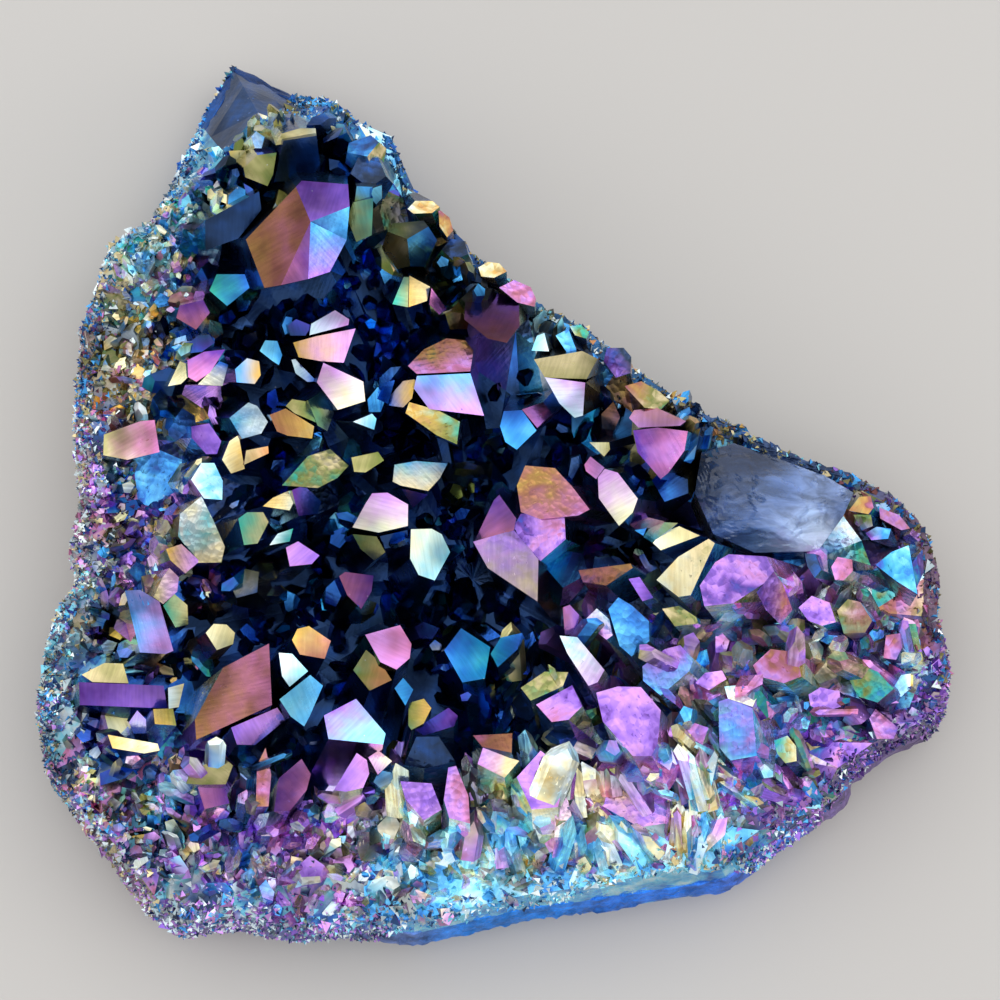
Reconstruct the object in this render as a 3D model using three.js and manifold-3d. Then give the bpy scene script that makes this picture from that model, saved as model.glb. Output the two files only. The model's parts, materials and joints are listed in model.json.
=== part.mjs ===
// Titanium aura druzy: a broken plate of geode rock whose hollow is lined with quartz crystals.
// The crystals grew out of the rock and into each other, so the whole thing is one solid.
// Millimetres, +Z up. The origin is the middle of the flat resting face under the rock.

import * as THREE from 'three';
import { ConvexGeometry } from 'three/addons/geometries/ConvexGeometry.js';
import { ParametricGeometry } from 'three/addons/geometries/ParametricGeometry.js';
import { mergeVertices } from 'three/addons/utils/BufferGeometryUtils.js';
import Module from 'manifold-3d';

// Driving dimensions of the rock
const BELLY_HEIGHT = 7;
const RIM_HEIGHT = 17.5;
const FLOOR_HEIGHT = 12;
const BOWL_START = 0.3;
const BASE_INSET = 5;
const BASE_WAVE = 1.5;
const FLANK_INSET = 1.4;
const RELIEF = 0.7;
const CENTRE = new THREE.Vector2(-4, -12);

// Rings of facets across the hollow, as shares of the way out to the rim
const BOWL_RINGS = [0.86, 0.66, 0.4];

// Quartz: the pyramid faces stand 38.2 degrees off the prism faces
const PYRAMID_ANGLE = THREE.MathUtils.degToRad(38.2);

// How unevenly far the prism faces of a crystal stand from its axis
const PRISM_JITTER = 0.18;

// A crystal's root ends this deep in the rock, and this share of the way out to the flank
const ROOT_DEPTH = 3;
const ROOT_STEP = 0.5;
const ROOT_LIMIT = 0.93;

// The crystals lean inwards, from the middle of the hollow to its rim, and they widen by this
// share for each millimetre down to their roots
const INWARD_LEAN = [6, 32];
const FLARE = 0.022;

// The faces below are listed by their lean in a calm light; every face leans this much more
const STEEPER = 1.4;
const STEEPER_BY = 3;

// Outline of the plate seen from above, clockwise from the bare corner: x, y and the width
// of the bare ledge between the outline and the crystals
const OUTLINE = [
  [-38.4, 62.4, 11], [-33.5, 60, 10], [-29.5, 57.9, 8], [-25, 57.2, 4], [-20.5, 53, 2],
  [-15.5, 50, 1], [-14.5, 46, 1], [-12.5, 42, 1], [-8, 37.5, 1], [-3.5, 32.5, 1],
  [3, 28, 1], [6, 25.5, 1], [12, 22.5, 1], [17, 18, 1], [22, 14.5, 1],
  [29, 10, 1], [36, 6.5, 1], [43, 3.2, 1], [49.5, 1, 1], [54.5, -1.8, 1],
  [58, -6.5, 1], [59.5, -11.5, 1], [59.3, -18, 1], [61, -25, 1.5], [60.4, -30, 2.5],
  [58.5, -33, 3], [52, -36, 3], [47.2, -39.5, 3], [46.6, -42.5, 4], [41.5, -46, 4],
  [37, -49, 4], [31, -53.5, 4], [24, -54.8, 4], [14, -56.3, 3], [4, -57.7, 3],
  [-5, -59.6, 3], [-12, -61.1, 3], [-20, -60, 2], [-27, -60.6, 2], [-36, -59.1, 2],
  [-43.4, -60, 2], [-48, -57, 3], [-52, -51, 2.5], [-57.5, -44.5, 2], [-61.2, -39, 1.5],
  [-62.9, -31, 1], [-61.6, -22.5, 1], [-60.4, -17, 1], [-58, -13, 1], [-58.9, -8, 1],
  [-57.4, -2, 1], [-58.8, 10, 1], [-58, 22, 1], [-55.8, 30, 1.5], [-54.8, 35.3, 2],
  [-48.6, 39.3, 3], [-45.8, 47, 6], [-42.8, 54, 9],
];

// Crystals whose whole tip shows: tip x, y, z, width across flats, lean from upright in degrees,
// the direction that the tip leans to in degrees from +X, and a turn about its own axis
const TIPPED_CRYSTALS = [
  [-12.6, 30.9, 30.5, 6.4, 8, -95, 10], [-17.8, 38.9, 27, 5.5, 30, -90, 0],
  [-36.8, 23, 25.5, 6.5, 40, -90, 0], [-41, 20, 24.5, 5.5, 40, -95, 20],
  [-18.2, 43.6, 26, 5, 18, -80, 10], [-22.8, 46.4, 25, 4.5, 18, -95, 0],
  [-6.6, 29.2, 26, 5, 18, -100, 0], [-7, 19.8, 25.5, 4.5, 25, -125, 0],
  [8, -15, 25, 6, 30, -100, 0], [-32.4, -15.4, 23.5, 5, 20, -40, 0],
  [-20, -6, 24, 5, 20, 10, 10], [21.5, -3.5, 25, 5.5, 35, -110, 0],
  [5, -36.5, 25.5, 8.5, 45, 95, 0], [-5.4, -20.5, 26, 7.5, 38, 100, 0],
];

// The largest crystal: its tip, the lean and direction of the three faces that meet there,
// and its corners seen from above
const LARGEST_TIP = [-25.2, 32.3, 34];
const LARGEST_FACES = [[33.5, 180], [31.4, -38.4], [22.8, 64.4]];
const LARGEST_OUTLINE = [
  -27.3, 37.5, -26.6, 38.5, -20.5, 38.3, -20.2, 34.9, -20.6, 30.6, -22.8, 26.4, -25.6, 25.2,
  -29.2, 24.4, -31.5, 24.4, -34.2, 31.5,
];

// Crystals of which one face shows best. Each is the height of that face's middle, how far the
// face leans from level in degrees and in which direction, and its corners seen from above
const UPPER_FACES = [
  [27.5, 12, 150, [-32.9, 43.5, -30.3, 43.6, -30.7, 40.4, -31.4, 38.8, -34.5, 40.4, -34.8, 41.8]],
  [28, 30, -80, [-29.2, 44.5, -24.8, 45.2, -24.5, 42.2, -25.9, 40.4, -30.7, 40, -29.9, 42.5]],
  [28.4, 10, 60, [-30.3, 44.2, -29.5, 46, -27.2, 46.9, -25.1, 47, -24.9, 45.3, -27.7, 45.1]],
  [26, 12, 190, [-36.8, 38.3, -35.5, 39.4, -34.5, 38.8, -34.5, 36.5, -36.2, 35.2, -37, 36.2]],
  [26.4, 5, 90, [-34.8, 39.8, -33.7, 39.1, -32.6, 37.8, -34, 36.8]],
  [24.5, 4, 90, [-39.4, 38.3, -38.7, 39.2, -36.9, 38.6, -37, 37.3]],
  [24, 18, -120, [-39.5, 37.2, -37.2, 37.2, -37.5, 35.3, -39.2, 35.5]],
  [27, 28, -90, [-39.8, 34.4, -35.2, 35.4, -32.4, 37.6, -32.2, 35.6, -35.5, 32.4, -40, 31.1]],
  [30, 12, 80, [-19.4, 38.4, -16.7, 38.3, -16.4, 36.9, -18.5, 35.9, -19.6, 36]],
  [29.6, 25, -100, [-19.8, 35.8, -17.1, 36.2, -17.4, 32, -19.5, 31.3, -20.6, 34]],
  [26.6, 8, 90, [-12.7, 36.1, -11.7, 37.3, -9.4, 37.3, -8.4, 36.4, -9.4, 35.5, -11.9, 35.4]],
  [25.5, 25, 20, [-8.6, 36.4, -7.1, 35.4, -6.6, 33.6, -7.4, 32.4, -8.4, 33.8]],
  [26.8, 6, 90, [-3.2, 28, -1.9, 28.8, -0.4, 28.6, 0.6, 27.4, -1.1, 26.5, -2.8, 26.7]],
  [25.4, 15, 200, [-4.8, 26.9, -3, 26.8, -3.1, 25.1, -4.5, 25.1]],
  [27, 15, 30, [-0.4, 24.9, 1.6, 26.2, 3.8, 25.4, 4.5, 23.8, 4.3, 22.6, 2, 23]],
  [29.4, 24, 80, [-4.9, 23, -0.4, 24.6, 2.2, 23.2, 2.3, 19.2, 0.6, 16.4, -1.9, 17, -5, 20]],
  [28.6, 18, 180, [-14.6, 22.7, -13.1, 26.2, -12.4, 26.1, -12.5, 22]],
  [28.7, 18, -20, [-12.3, 26.1, -9.6, 25, -10, 23.1, -12.4, 22]],
  [27.4, 28, -40, [-9.4, 24.6, -7.4, 22.4, -8.4, 21.6, -9.7, 22.6]],
  [27, 5, 90, [4.6, 18.6, 5.6, 19, 6.2, 16.4, 3.9, 16.5]],
  [27, 6, 60, [7.1, 18.6, 8.8, 19.6, 10, 16.2, 8.6, 16.2]],
  [25.8, 8, 90, [9, 20.2, 10.5, 20.4, 11.6, 19.3, 11.2, 18.4, 9.7, 18.9]],
  [29.3, 18, 95, [4.2, 15, 10.6, 16.2, 12.6, 15, 11.1, 11.9, 5.6, 12.2]],
  [29.9, 3, -90, [5.6, 12.2, 10.9, 11.5, 10.6, 7.2, 9.5, 6.9, 7.5, 8.8]],
  [26.8, 20, 60, [16.2, 11.7, 18.5, 12.6, 20.9, 11.2, 22.2, 9.9, 21, 8.5, 18.8, 8.6]],
  [28.6, 22, 90, [16.7, 7.1, 17.4, 8.3, 20.4, 8.7, 24.2, 6.6, 23.4, 5.9, 17.9, 5.6]],
  [28.4, 14, -80, [17.2, 5.2, 20.4, 5.6, 24.4, 5.2, 24, 2.8, 21.9, 0, 20.9, -0.8, 17.8, 2.5]],
  [24.6, 5, 60, [22.8, 10, 23.6, 9.2, 24.6, 7, 23.8, 7.4]],
  [27, 18, 200, [13.9, 17, 16.1, 16.8, 17.1, 15.5, 17, 13.4, 15.1, 13, 13.5, 15.3]],
];
const CENTRE_FACES = [
  [28.5, 10, -100, [0.2, 7.9, 2.6, 8, 4.5, 5.4, 1.9, 3, 0.4, 4, -0.3, 6]],
  [28.6, 20, 30, [2.6, 8, 5.4, 9.4, 6.5, 7.8, 4.6, 5.6]],
  [30.3, 8, -80, [-11.6, 10.6, -11.2, 12.2, -4.2, 12.6, -2.4, 7.2, -5.4, 7.6, -9.6, 8]],
  [30, 24, 95, [-12.4, 13.6, -10.4, 16.2, -7.4, 18, -4.9, 17.6, -3.8, 15.9, -4.2, 12.6, -11.2, 12.3]],
  [27.6, 8, -120, [-12.8, 8, -12.3, 9.4, -8.4, 8.2, -5.6, 6.7, -6, 3.8, -8.6, 5]],
  [28, 15, -150, [-14.8, 10.4, -13.1, 12.1, -11.5, 12.2, -11.9, 9.8, -13.1, 8.7, -15, 9.1]],
  [27.4, 24, 190, [-16.8, 10.2, -16.2, 12, -14.2, 12.2, -15.1, 9.2]],
  [30, 3, 90, [-23.6, 14.3, -18.3, 11.7, -18, 9, -21.6, 7.8, -24.4, 11.6]],
  [28, 2, 90, [-19.7, 6.7, -17.2, 7.8, -16.6, 7.1, -16.9, 5.6]],
  [29.4, 4, 90, [-28.4, 19.4, -27.3, 20.3, -25.2, 19.4, -26, 18, -28, 18]],
  [30.4, 5, 100, [-25.2, 19.4, -22.1, 21.3, -20.2, 20, -20.3, 19.2, -25.4, 17.8]],
  [29, 14, -70, [-27.6, 17, -24.5, 17.9, -19.4, 19, -21, 14.7, -24, 14.8, -26.9, 15.2]],
  [27, 20, 100, [-41.8, 17.6, -40.5, 18.8, -39, 18.9, -38.2, 17.6, -39.8, 16.2, -41.8, 16]],
  [27, 6, -90, [-41.8, 15.2, -39.6, 16.3, -36.8, 16.6, -38.8, 13.6, -40.6, 12.4, -41.7, 13]],
  [26, 25, -40, [-40.4, 12, -37.6, 15.2, -36.5, 14.9, -37.3, 12.2]],
  [25.5, 25, 190, [-44.7, 12.4, -41.8, 17.5, -41.7, 13.2, -42.8, 12.4]],
  [26.6, 8, -90, [-35.5, 14.1, -33.9, 15.5, -32.3, 15.1, -32.1, 13.3, -32.9, 12.2, -35.3, 12.4]],
  [27.5, 5, 90, [-32.2, 16.4, -31.5, 17.9, -29.9, 17.8, -29.2, 15.8, -29.6, 14.4, -30.5, 15]],
  [27.2, 4, 90, [-28, 15.3, -27.5, 15.4, -24.6, 12.3, -25.8, 12.2, -27.4, 13.4]],
  [23.4, 14, 180, [-53.4, 6.2, -48.3, 7.6, -46.3, 7.6, -45.5, 3.2, -50, 2.5, -53.4, 3.4]],
  [23.5, 18, 80, [-44.6, 6.6, -42.9, 9.8, -41.2, 8.6, -40.9, 7.3, -43.3, 4.7, -44.4, 5.6]],
  [25, 20, -60, [-41.2, 6.4, -38.9, 6.9, -37.4, 4.8, -38, 3.2, -39.4, 3.1, -41.2, 5]],
  [26, 12, 80, [-36.2, 7.6, -33.8, 9.9, -32.6, 9.4, -31.1, 7.1, -31.9, 5.4, -34.4, 4.6]],
  [25, 6, -90, [-36.2, 4.6, -35, 5.4, -34.2, 1, -36, 0.4, -37.2, 2.2]],
  [25.2, 5, 90, [-34, 3.4, -31.1, 4, -31, 3, -34.2, 1.4]],
  [27.2, 18, -80, [-30.7, 7.6, -28.6, 8.4, -24.9, 6.3, -25.2, 4.8, -28.4, 5.1, -29.8, 5.6]],
  [27.9, 10, 60, [-28.6, 8.8, -27.8, 9.8, -25.7, 9.5, -24.6, 6.6, -27.4, 7.8]],
  [27.5, 28, -20, [-25.6, 9.3, -23.9, 10.8, -22.3, 8.3, -23.2, 5.8, -24.4, 6.3]],
  [25.5, 4, 90, [-41.2, -0.6, -39.9, 1.7, -38.2, 1.7, -37, -0.8, -37, -3.4, -39.4, -3.2]],
  [24.6, 12, -100, [-42.6, -5.2, -39.7, -3, -38.2, -6, -36.7, -9.4, -37.2, -11.4, -40.3, -11.4, -42.9, -8]],
  [24, 15, -60, [-44.4, -9.8, -42.4, -9.1, -40.1, -11.2, -42, -12.8, -43.9, -11.2]],
  [27.5, 15, 80, [-28.9, -2, -25.7, 2.3, -22.8, 3.4, -20.3, 1, -21.7, -0.8, -24.2, -2.3]],
  [26.6, 8, 150, [-31.6, -4.3, -30.3, -3.2, -27.9, -2.2, -27.3, -3.6, -28, -5]],
  [27, 25, -20, [-27.6, -2.6, -26.1, -1.8, -23.9, -3.6, -24.4, -5.2, -26.8, -5.8]],
  [26, 14, -90, [-34.8, -6, -33.6, -5.2, -31.5, -5.2, -30.8, -6.4, -32.3, -9.1, -34.1, -9.3]],
  [27, 7, -90, [-28.4, -10, -26.8, -9.2, -24, -11, -25, -12.1, -27.9, -12.4]],
  [26.2, 8, 45, [-30.6, -9.6, -29.6, -8, -27.6, -7.2, -28, -9]],
];
const MIDDLE_FACES = [
  [27.6, 8, 90, [-19.9, 2, -16.4, 2.8, -15.6, 1.6, -18, -0.1, -19.5, 0]],
  [28.3, 12, 100, [-14.2, 1, -11.4, 1.5, -7.2, 1.1, -8.2, -1, -9.7, -2.8, -13.3, -2, -14.4, -1.4]],
  [26.8, 30, -90, [-13.3, -2.2, -9.8, -2.9, -11.8, -4.4]],
  [30.5, 3, 90, [-19.5, -7.9, -17.8, -4.6, -17, -3.3, -15, -3.2, -12.3, -4.8, -12.3, -7.7, -16.1, -8.6]],
  [28.2, 28, -120, [-19.6, -8.4, -16.4, -8.9, -15.3, -10.8, -16.8, -11.7, -18.6, -10.2]],
  [28.4, 30, -80, [-16, -8.8, -12.4, -8, -12.3, -9.6, -15.4, -10.2]],
  [30, 3, -60, [-11.9, -8.1, -9.2, -8, -7.9, -8.7, -6.8, -11, -8.8, -14.7, -10.9, -14, -12, -11.9]],
  [28, 22, -100, [-21.3, -14, -20.5, -13.5, -16.8, -14, -17.1, -15.9, -18.5, -18, -20.3, -16.3]],
  [31, 14, 60, [1.9, -2.5, 3, 0.4, 6.9, 0.2, 9.1, -2.3, 11.4, -5.5, 9.9, -6.4, 4.9, -7.1, 2.4, -6.2]],
  [30, 24, 190, [-0.4, -3.6, 1.8, -6.9, 1.5, -8.4, -3.8, -9.5, -2.9, -7.9, -1.1, -4.2]],
  [29.6, 16, -110, [1.5, -8.3, 2.3, -9.3, 4.7, -12, 4.6, -17.2, -1.9, -12.9, -3.8, -9.6]],
  [29.8, 18, -60, [2.4, -6.2, 8.1, -5.9, 8.3, -9.1, 4.9, -12, 2.3, -9.3, 1.5, -7.8]],
  [30.3, 3, 60, [12.5, -1.2, 13.4, 0, 15.1, -0.5, 17.7, -4, 17, -5.9, 15.2, -7.7, 12.6, -4]],
  [28.6, 14, 150, [10.8, 0.9, 11.6, 2, 13.4, 0.3, 12.3, -1.2, 11, 0]],
  [27.8, 6, 90, [11.5, 4, 14.1, 4, 14.2, 3, 13.4, 2]],
  [26.6, 5, 90, [19.8, -9.3, 20.8, -8, 23.3, -7, 26, -8.3, 20.8, -10.3]],
  [26.4, 16, 140, [18.6, -8.4, 19.9, -6.3, 23.1, -6.7, 20.6, -7.9, 19.7, -9.2]],
  [26, 12, 200, [16.8, -7, 18.3, -5.2, 19.4, -6.3, 18.6, -8.2]],
  [27.4, 5, 120, [20.2, -14.3, 23.1, -11.2, 27.1, -8.8, 27.9, -9.4, 25.9, -12.5, 24.6, -16.4, 23, -16.6]],
  [29.4, 8, 90, [25.7, -15.4, 27.8, -12.2, 29.6, -11.1, 34.5, -11.4, 35.7, -14, 30, -17.8, 26.2, -18.2]],
  [27.8, 32, -30, [33, -16.4, 35.3, -13.6, 36.6, -14.8, 38.2, -17.9, 36.5, -19.9, 34.4, -18.4]],
  [26.8, 25, -90, [10, -13, 16.8, -12.2, 17.1, -12.7, 13.7, -14.8, 10.6, -14.4]],
  [26.5, 10, 200, [16.6, -14, 18, -13.8, 19.8, -16.6, 18.4, -17]],
  [28, 12, -70, [13.8, -18.4, 15.1, -16.9, 16.9, -17.9, 19.1, -19.8, 19.2, -22.3, 16.9, -24.3, 15.3, -23]],
  [27, 22, -100, [7.9, -18, 8.8, -17.7, 10, -18.9, 9.8, -21.3, 8.2, -21.3]],
  [26.8, 10, 90, [10.6, -19.7, 12.4, -17.9, 14, -19.4, 14.4, -21.6, 13.6, -22.2]],
];
const RIGHT_FACES = [
  [25, 18, 40, [45.7, -4.9, 47.3, -2.8, 48.9, -2.6, 49.2, -4.2, 48.4, -5.2]],
  [24.6, 18, -60, [46.4, -5.3, 48.8, -5.2, 49.1, -6.6, 47.6, -7.2]],
  [23, 25, 40, [50.1, -4, 52.9, -4.8, 54.3, -6.6, 53, -7, 50.1, -5.6]],
  [24.4, 12, 90, [48.1, -7.6, 49.6, -6.7, 51.5, -7, 51, -8.4, 48.8, -8.6]],
  [25.4, 6, 90, [49.2, -12, 51.4, -10.2, 53.7, -9.3, 53, -13.2, 54.5, -16, 51.8, -14.2]],
  [23, 30, 0, [53.2, -13, 54.9, -10.6, 55.9, -9.4, 56, -12.5, 54.8, -14.8]],
  [25, 10, 100, [43.4, -12.2, 44.3, -10.8, 46.2, -11.2, 46.2, -12.8, 44.9, -14.1, 43.8, -14]],
  [25.3, 6, 90, [39.9, -10.4, 41.3, -10.5, 42, -12.7, 41.1, -13.8, 40.2, -12.2]],
  [25, 8, 90, [39, -17.6, 40.8, -16, 43.1, -16.9, 43.8, -19.6, 42, -20.1, 40.2, -19.4]],
  [24.4, 18, -60, [44, -18.1, 45.4, -16.6, 47.1, -16.9, 48.8, -19.2, 47.9, -20.7, 45, -20.9]],
  [23.6, 12, -60, [50.5, -21.2, 52.4, -20.9, 52.7, -22.7, 51.9, -24.3, 50.2, -24.1]],
  [23.4, 15, 200, [45.4, -26.1, 46.8, -24.9, 49.3, -26, 51.3, -28.3, 49.3, -30, 46.8, -29.1]],
  [24, 7, 90, [40.2, -29, 41.8, -28, 44.3, -28.6, 44.4, -30.6, 42, -31.4, 40.4, -30.5]],
  [22, 12, 90, [48.4, -31.9, 49.3, -30.6, 52.1, -33.2, 51.4, -34.7, 49.2, -34.7]],
  [23.5, 8, 60, [35.6, -35, 37.4, -34.3, 38.5, -35.7, 38.5, -37.7, 37, -38, 36, -36.8]],
  [29, 6, 110, [12.2, -29.2, 15, -28.4, 18, -28.5, 20.5, -31.6, 20, -36, 19.2, -37.6, 16.8, -37.6, 13, -33]],
  [27.4, 4, 90, [7.5, -21.6, 9.8, -21.8, 13.3, -26.2, 12.4, -27.8, 11.2, -28.3, 8.5, -24]],
  [26.5, 10, -90, [18.3, -25.6, 21.2, -23.4, 23.2, -22.9, 25, -24.7, 24.4, -26.2, 20.7, -29.3, 18.4, -27.4]],
  [26, 8, -90, [25.2, -27.7, 26.5, -26.4, 28.7, -26.1, 29.3, -27.2, 27, -28.6]],
  [26, 8, 90, [21, -17.9, 23.2, -17.5, 25.4, -19, 25.7, -19.9, 22.6, -20.3]],
  [26.4, 8, 90, [29, -28.2, 31.9, -27.9, 33.2, -29.6, 32.6, -30.9, 29.4, -29.8]],
  [25, 14, -90, [28.2, -30.2, 29.4, -29.8, 32.6, -31, 33.3, -37, 29.9, -37.6, 28.4, -36]],
  [25.4, 12, -60, [23.3, -34.1, 24.6, -32.8, 26.9, -33.5, 26.1, -35.7, 24.5, -36.4]],
  [24.5, 4, 90, [22, -39.7, 25.8, -38.9, 25.5, -40.9, 24.5, -42.2]],
  [26, 18, -60, [32.7, -25.5, 35, -23.4, 38.4, -23.7, 39.2, -26.7, 36.9, -27.6, 33.4, -26.8]],
];
const LOWER_FACES = [
  [29.5, 3, 80, [-17.8, -21.8, -13.3, -20.5, -11.8, -23, -12, -24.9, -13.7, -26.4, -15.8, -25.4]],
  [27.8, 14, -100, [-19.4, -26.2, -17.7, -23.7, -15.9, -25.2, -14.4, -27.5, -17.3, -28.8]],
  [29.5, 5, -30, [-23, -32.4, -18.9, -30.2, -15.1, -34.6, -15.4, -36, -22.4, -35.4]],
  [27.4, 12, 0, [-14, -28.6, -12.9, -27.2, -11.6, -28.7, -12.6, -30.8]],
  [27.4, 14, 150, [-12.2, -33.4, -12.2, -30.4, -10.2, -29.9, -9.2, -31.2, -10.2, -33.2, -11.8, -34]],
  [26.4, 28, -60, [-11.4, -33.9, -7, -31.1, -5.8, -32, -6.3, -33.3, -10.2, -34.6]],
  [28, 8, -90, [-21.8, -41.8, -18.8, -37.1, -17.5, -38, -17.2, -39.7, -18, -41.5, -20.2, -42]],
  [27, 28, -95, [-12.8, -38.4, -11.1, -35, -8.2, -35, -6.1, -38, -10.1, -38.8]],
  [27, 10, 90, [-17.4, -37.5, -16.1, -36.6, -14.3, -38, -16.1, -39.8]],
  [27, 24, 90, [-3.8, -34.6, 1.3, -34.3, 1.2, -37, -2.6, -36.2]],
  [26.8, 8, -20, [-2.5, -36.3, 2.2, -37.9, 0.3, -40.1, -1.6, -39.2, -3.2, -38.4]],
  [25.6, 10, -80, [-7, -38.8, -6, -38.6, -4.4, -42.4, -4.2, -45.9, -6.9, -45.2, -7.6, -42.9]],
  [25.5, 14, -60, [-13.2, -40.6, -9.2, -40.8, -7.9, -44.1, -10.2, -45.5, -12.6, -42.8]],
  [27.5, 6, 90, [4.4, -30.7, 9.1, -28.1, 10.4, -30.9, 8.6, -32.7, 6.4, -33]],
  [27, 12, -60, [2.4, -28.5, 5.5, -26.4, 8.6, -26.4, 7.9, -28.2, 3.7, -30.1]],
  [26.8, 15, -40, [-1.5, -24, -0.2, -21.9, 2.6, -21.2, 2, -23.3, -0.6, -25.7]],
  [25, 12, -90, [-49.5, -15.6, -47.5, -15.5, -45, -17, -43.3, -23.2, -44.3, -23.6, -47.7, -23.4]],
  [25, 14, 60, [-45.8, -16.4, -44.8, -13.6, -44, -12.2, -42.7, -13.5, -42.8, -15.5, -44.5, -17.3]],
  [24.8, 20, -20, [-44.5, -17.5, -43.1, -15.9, -41.5, -17.2, -41.4, -19.7, -43, -20.2]],
  [27.5, 3, 90, [-38.7, -21.3, -37.7, -20.1, -36, -20.2, -34.9, -21.3, -35.1, -22.8, -37.2, -23.6]],
  [27.5, 12, -60, [-27.4, -22.3, -26.7, -20.9, -25.2, -20.5, -22.4, -22.3, -23.2, -24.6, -26.4, -24.1]],
  [28.6, 22, 195, [-36.3, -26, -30, -23.4, -29.6, -31.2, -33.4, -32.3, -40, -35, -40.2, -32.4]],
  [27.6, 30, -75, [-35.1, -33.8, -29.1, -31.3, -28.1, -32.7, -32.2, -35.8, -34.5, -35.8]],
  [30.8, 8, 60, [-28.9, -24.3, -27.2, -24.4, -25.1, -26.7, -27.4, -28.8, -28.4, -27.4]],
  [30, 14, -40, [-28.7, -30.4, -24.8, -27.2, -23.2, -28.5, -24.9, -32.4, -25.6, -33.7, -27.3, -32.5]],
  [22.4, 10, 100, [-55.5, -26.2, -52.6, -24.6, -50.1, -24.7, -49.2, -27.4, -54, -27.2]],
  [22, 14, -95, [-55.8, -27.2, -44.6, -27.7, -44.2, -30.6, -55.8, -30.1]],
  [22.2, 5, 90, [-44.1, -27.9, -42, -27.3, -42.6, -30.5, -43.9, -30.7]],
  [23.4, 10, -90, [-45.8, -30.9, -43.2, -30.8, -42.8, -33, -45.6, -32.8]],
  [22.3, 4, 90, [-51.9, -34.1, -45.3, -35.3, -45, -36.2, -47, -36.6, -51.2, -35.9]],
  [21.4, 22, 100, [-53, -39.1, -50.7, -38.1, -48.4, -38.6, -49.5, -39.8, -52.7, -40.8]],
  [26, 14, 120, [-41.1, -39.2, -36.3, -37.4, -35, -38.5, -35.8, -41, -39.3, -41, -41.1, -40.8]],
  [25, 18, -100, [-39.6, -41.2, -36.1, -41.2, -35.5, -43.3, -38.8, -44]],
  [27, 26, -60, [-29.6, -44.4, -28.8, -40.3, -25.9, -37.9, -24.8, -39.7, -25.4, -41.7, -27.6, -44.3]],
  [26, 12, 180, [-32, -43.8, -31.9, -38.4, -30.8, -36.2, -30, -39.7, -30.3, -43.8]],
];

// The piece of broken, clear quartz at the right-hand side, which the coating left glassy:
// its outline, the height of its top there, and the depth of its root
const QUARTZ_TOP = [
  [25.6, -2, 23], [26.6, 3.6, 22], [31, 5, 21.5], [37, 2, 22.5], [43, 0.6, 21.5], [47, -1.6, 20.5],
  [45.4, -5, 22], [42, -9.6, 21.5], [33.5, -10, 22.5], [28, -7.6, 23], [33, -2.4, 26.5],
  [40, -4.4, 26], [37, -7, 26.2], [30, -3.6, 25.6],
];
const QUARTZ_ROOT_HEIGHT = 11;

// Numbers between 0 and 1 that come out the same each time
let seed = 7321;
function chance() {
  seed = (seed * 1664525 + 1013904223) % 4294967296;
  return seed / 4294967296;
}

const outlineCurve = new THREE.CatmullRomCurve3(
  OUTLINE.map(([x, y, ledge]) => new THREE.Vector3(x, y, ledge)), true, 'centripetal');

// The outline as its distance from the middle of the hollow in each direction
const polarOutline = outlineCurve.getPoints(720).map((point) => {
  const arm = new THREE.Vector2(point.x, point.y).sub(CENTRE);
  return { angle: Math.atan2(arm.y, arm.x), radius: arm.length(), ledge: point.z };
});

function outlineAt(angle) {
  let best = polarOutline[0];
  let smallest = Infinity;
  for (const entry of polarOutline) {
    const turn = Math.abs(Math.atan2(Math.sin(entry.angle - angle), Math.cos(entry.angle - angle)));
    if (turn < smallest) {
      smallest = turn;
      best = entry;
    }
  }
  return best;
}

// How far out a place is: 1 is the rim of the hollow, or the outline of the plate
function shareOfRim(x, y) {
  const arm = new THREE.Vector2(x, y).sub(CENTRE);
  const edge = outlineAt(Math.atan2(arm.y, arm.x));
  return { rim: arm.length() / (edge.radius - edge.ledge), outline: arm.length() / edge.radius };
}

function relief(x, y) {
  return RELIEF * (Math.sin(0.31 * x + 1.2) * Math.cos(0.27 * y) + 0.6 * Math.sin(0.53 * y - 0.2 * x));
}

// Height of the rock under a place in the hollow, by its share of the way out to the rim
function bowlHeight(share, x, y) {
  const slope = THREE.MathUtils.smoothstep(share, BOWL_START, 1);
  return FLOOR_HEIGHT + (RIM_HEIGHT - FLOOR_HEIGHT) * slope + relief(x, y);
}

function bowlHeightAt(x, y) {
  return bowlHeight(Math.min(shareOfRim(x, y).rim, 1), x, y);
}

// The rock is a stack of rings, from the middle of its underside, out and up its flank, over
// the rim and down into the hollow
function rockRings() {
  const rings = [
    () => ({ radius: 0, height: 0 }),
    (edge) => ({ radius: edge.radius - BASE_INSET - BASE_WAVE * Math.sin(9 * edge.angle), height: 0 }),
    (edge) => ({ radius: edge.radius - FLANK_INSET, height: BELLY_HEIGHT * 0.45 }),
    (edge) => ({ radius: edge.radius, height: BELLY_HEIGHT }),
    (edge) => ({ radius: edge.radius - edge.ledge * 0.45, height: (BELLY_HEIGHT + RIM_HEIGHT) / 2 }),
    (edge) => ({ radius: edge.radius - edge.ledge, share: 1 }),
  ];
  for (const share of BOWL_RINGS) {
    rings.push((edge) => ({ radius: (edge.radius - edge.ledge) * share, share }));
  }
  rings.push(() => ({ radius: 0, share: 0 }));
  return rings;
}

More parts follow.
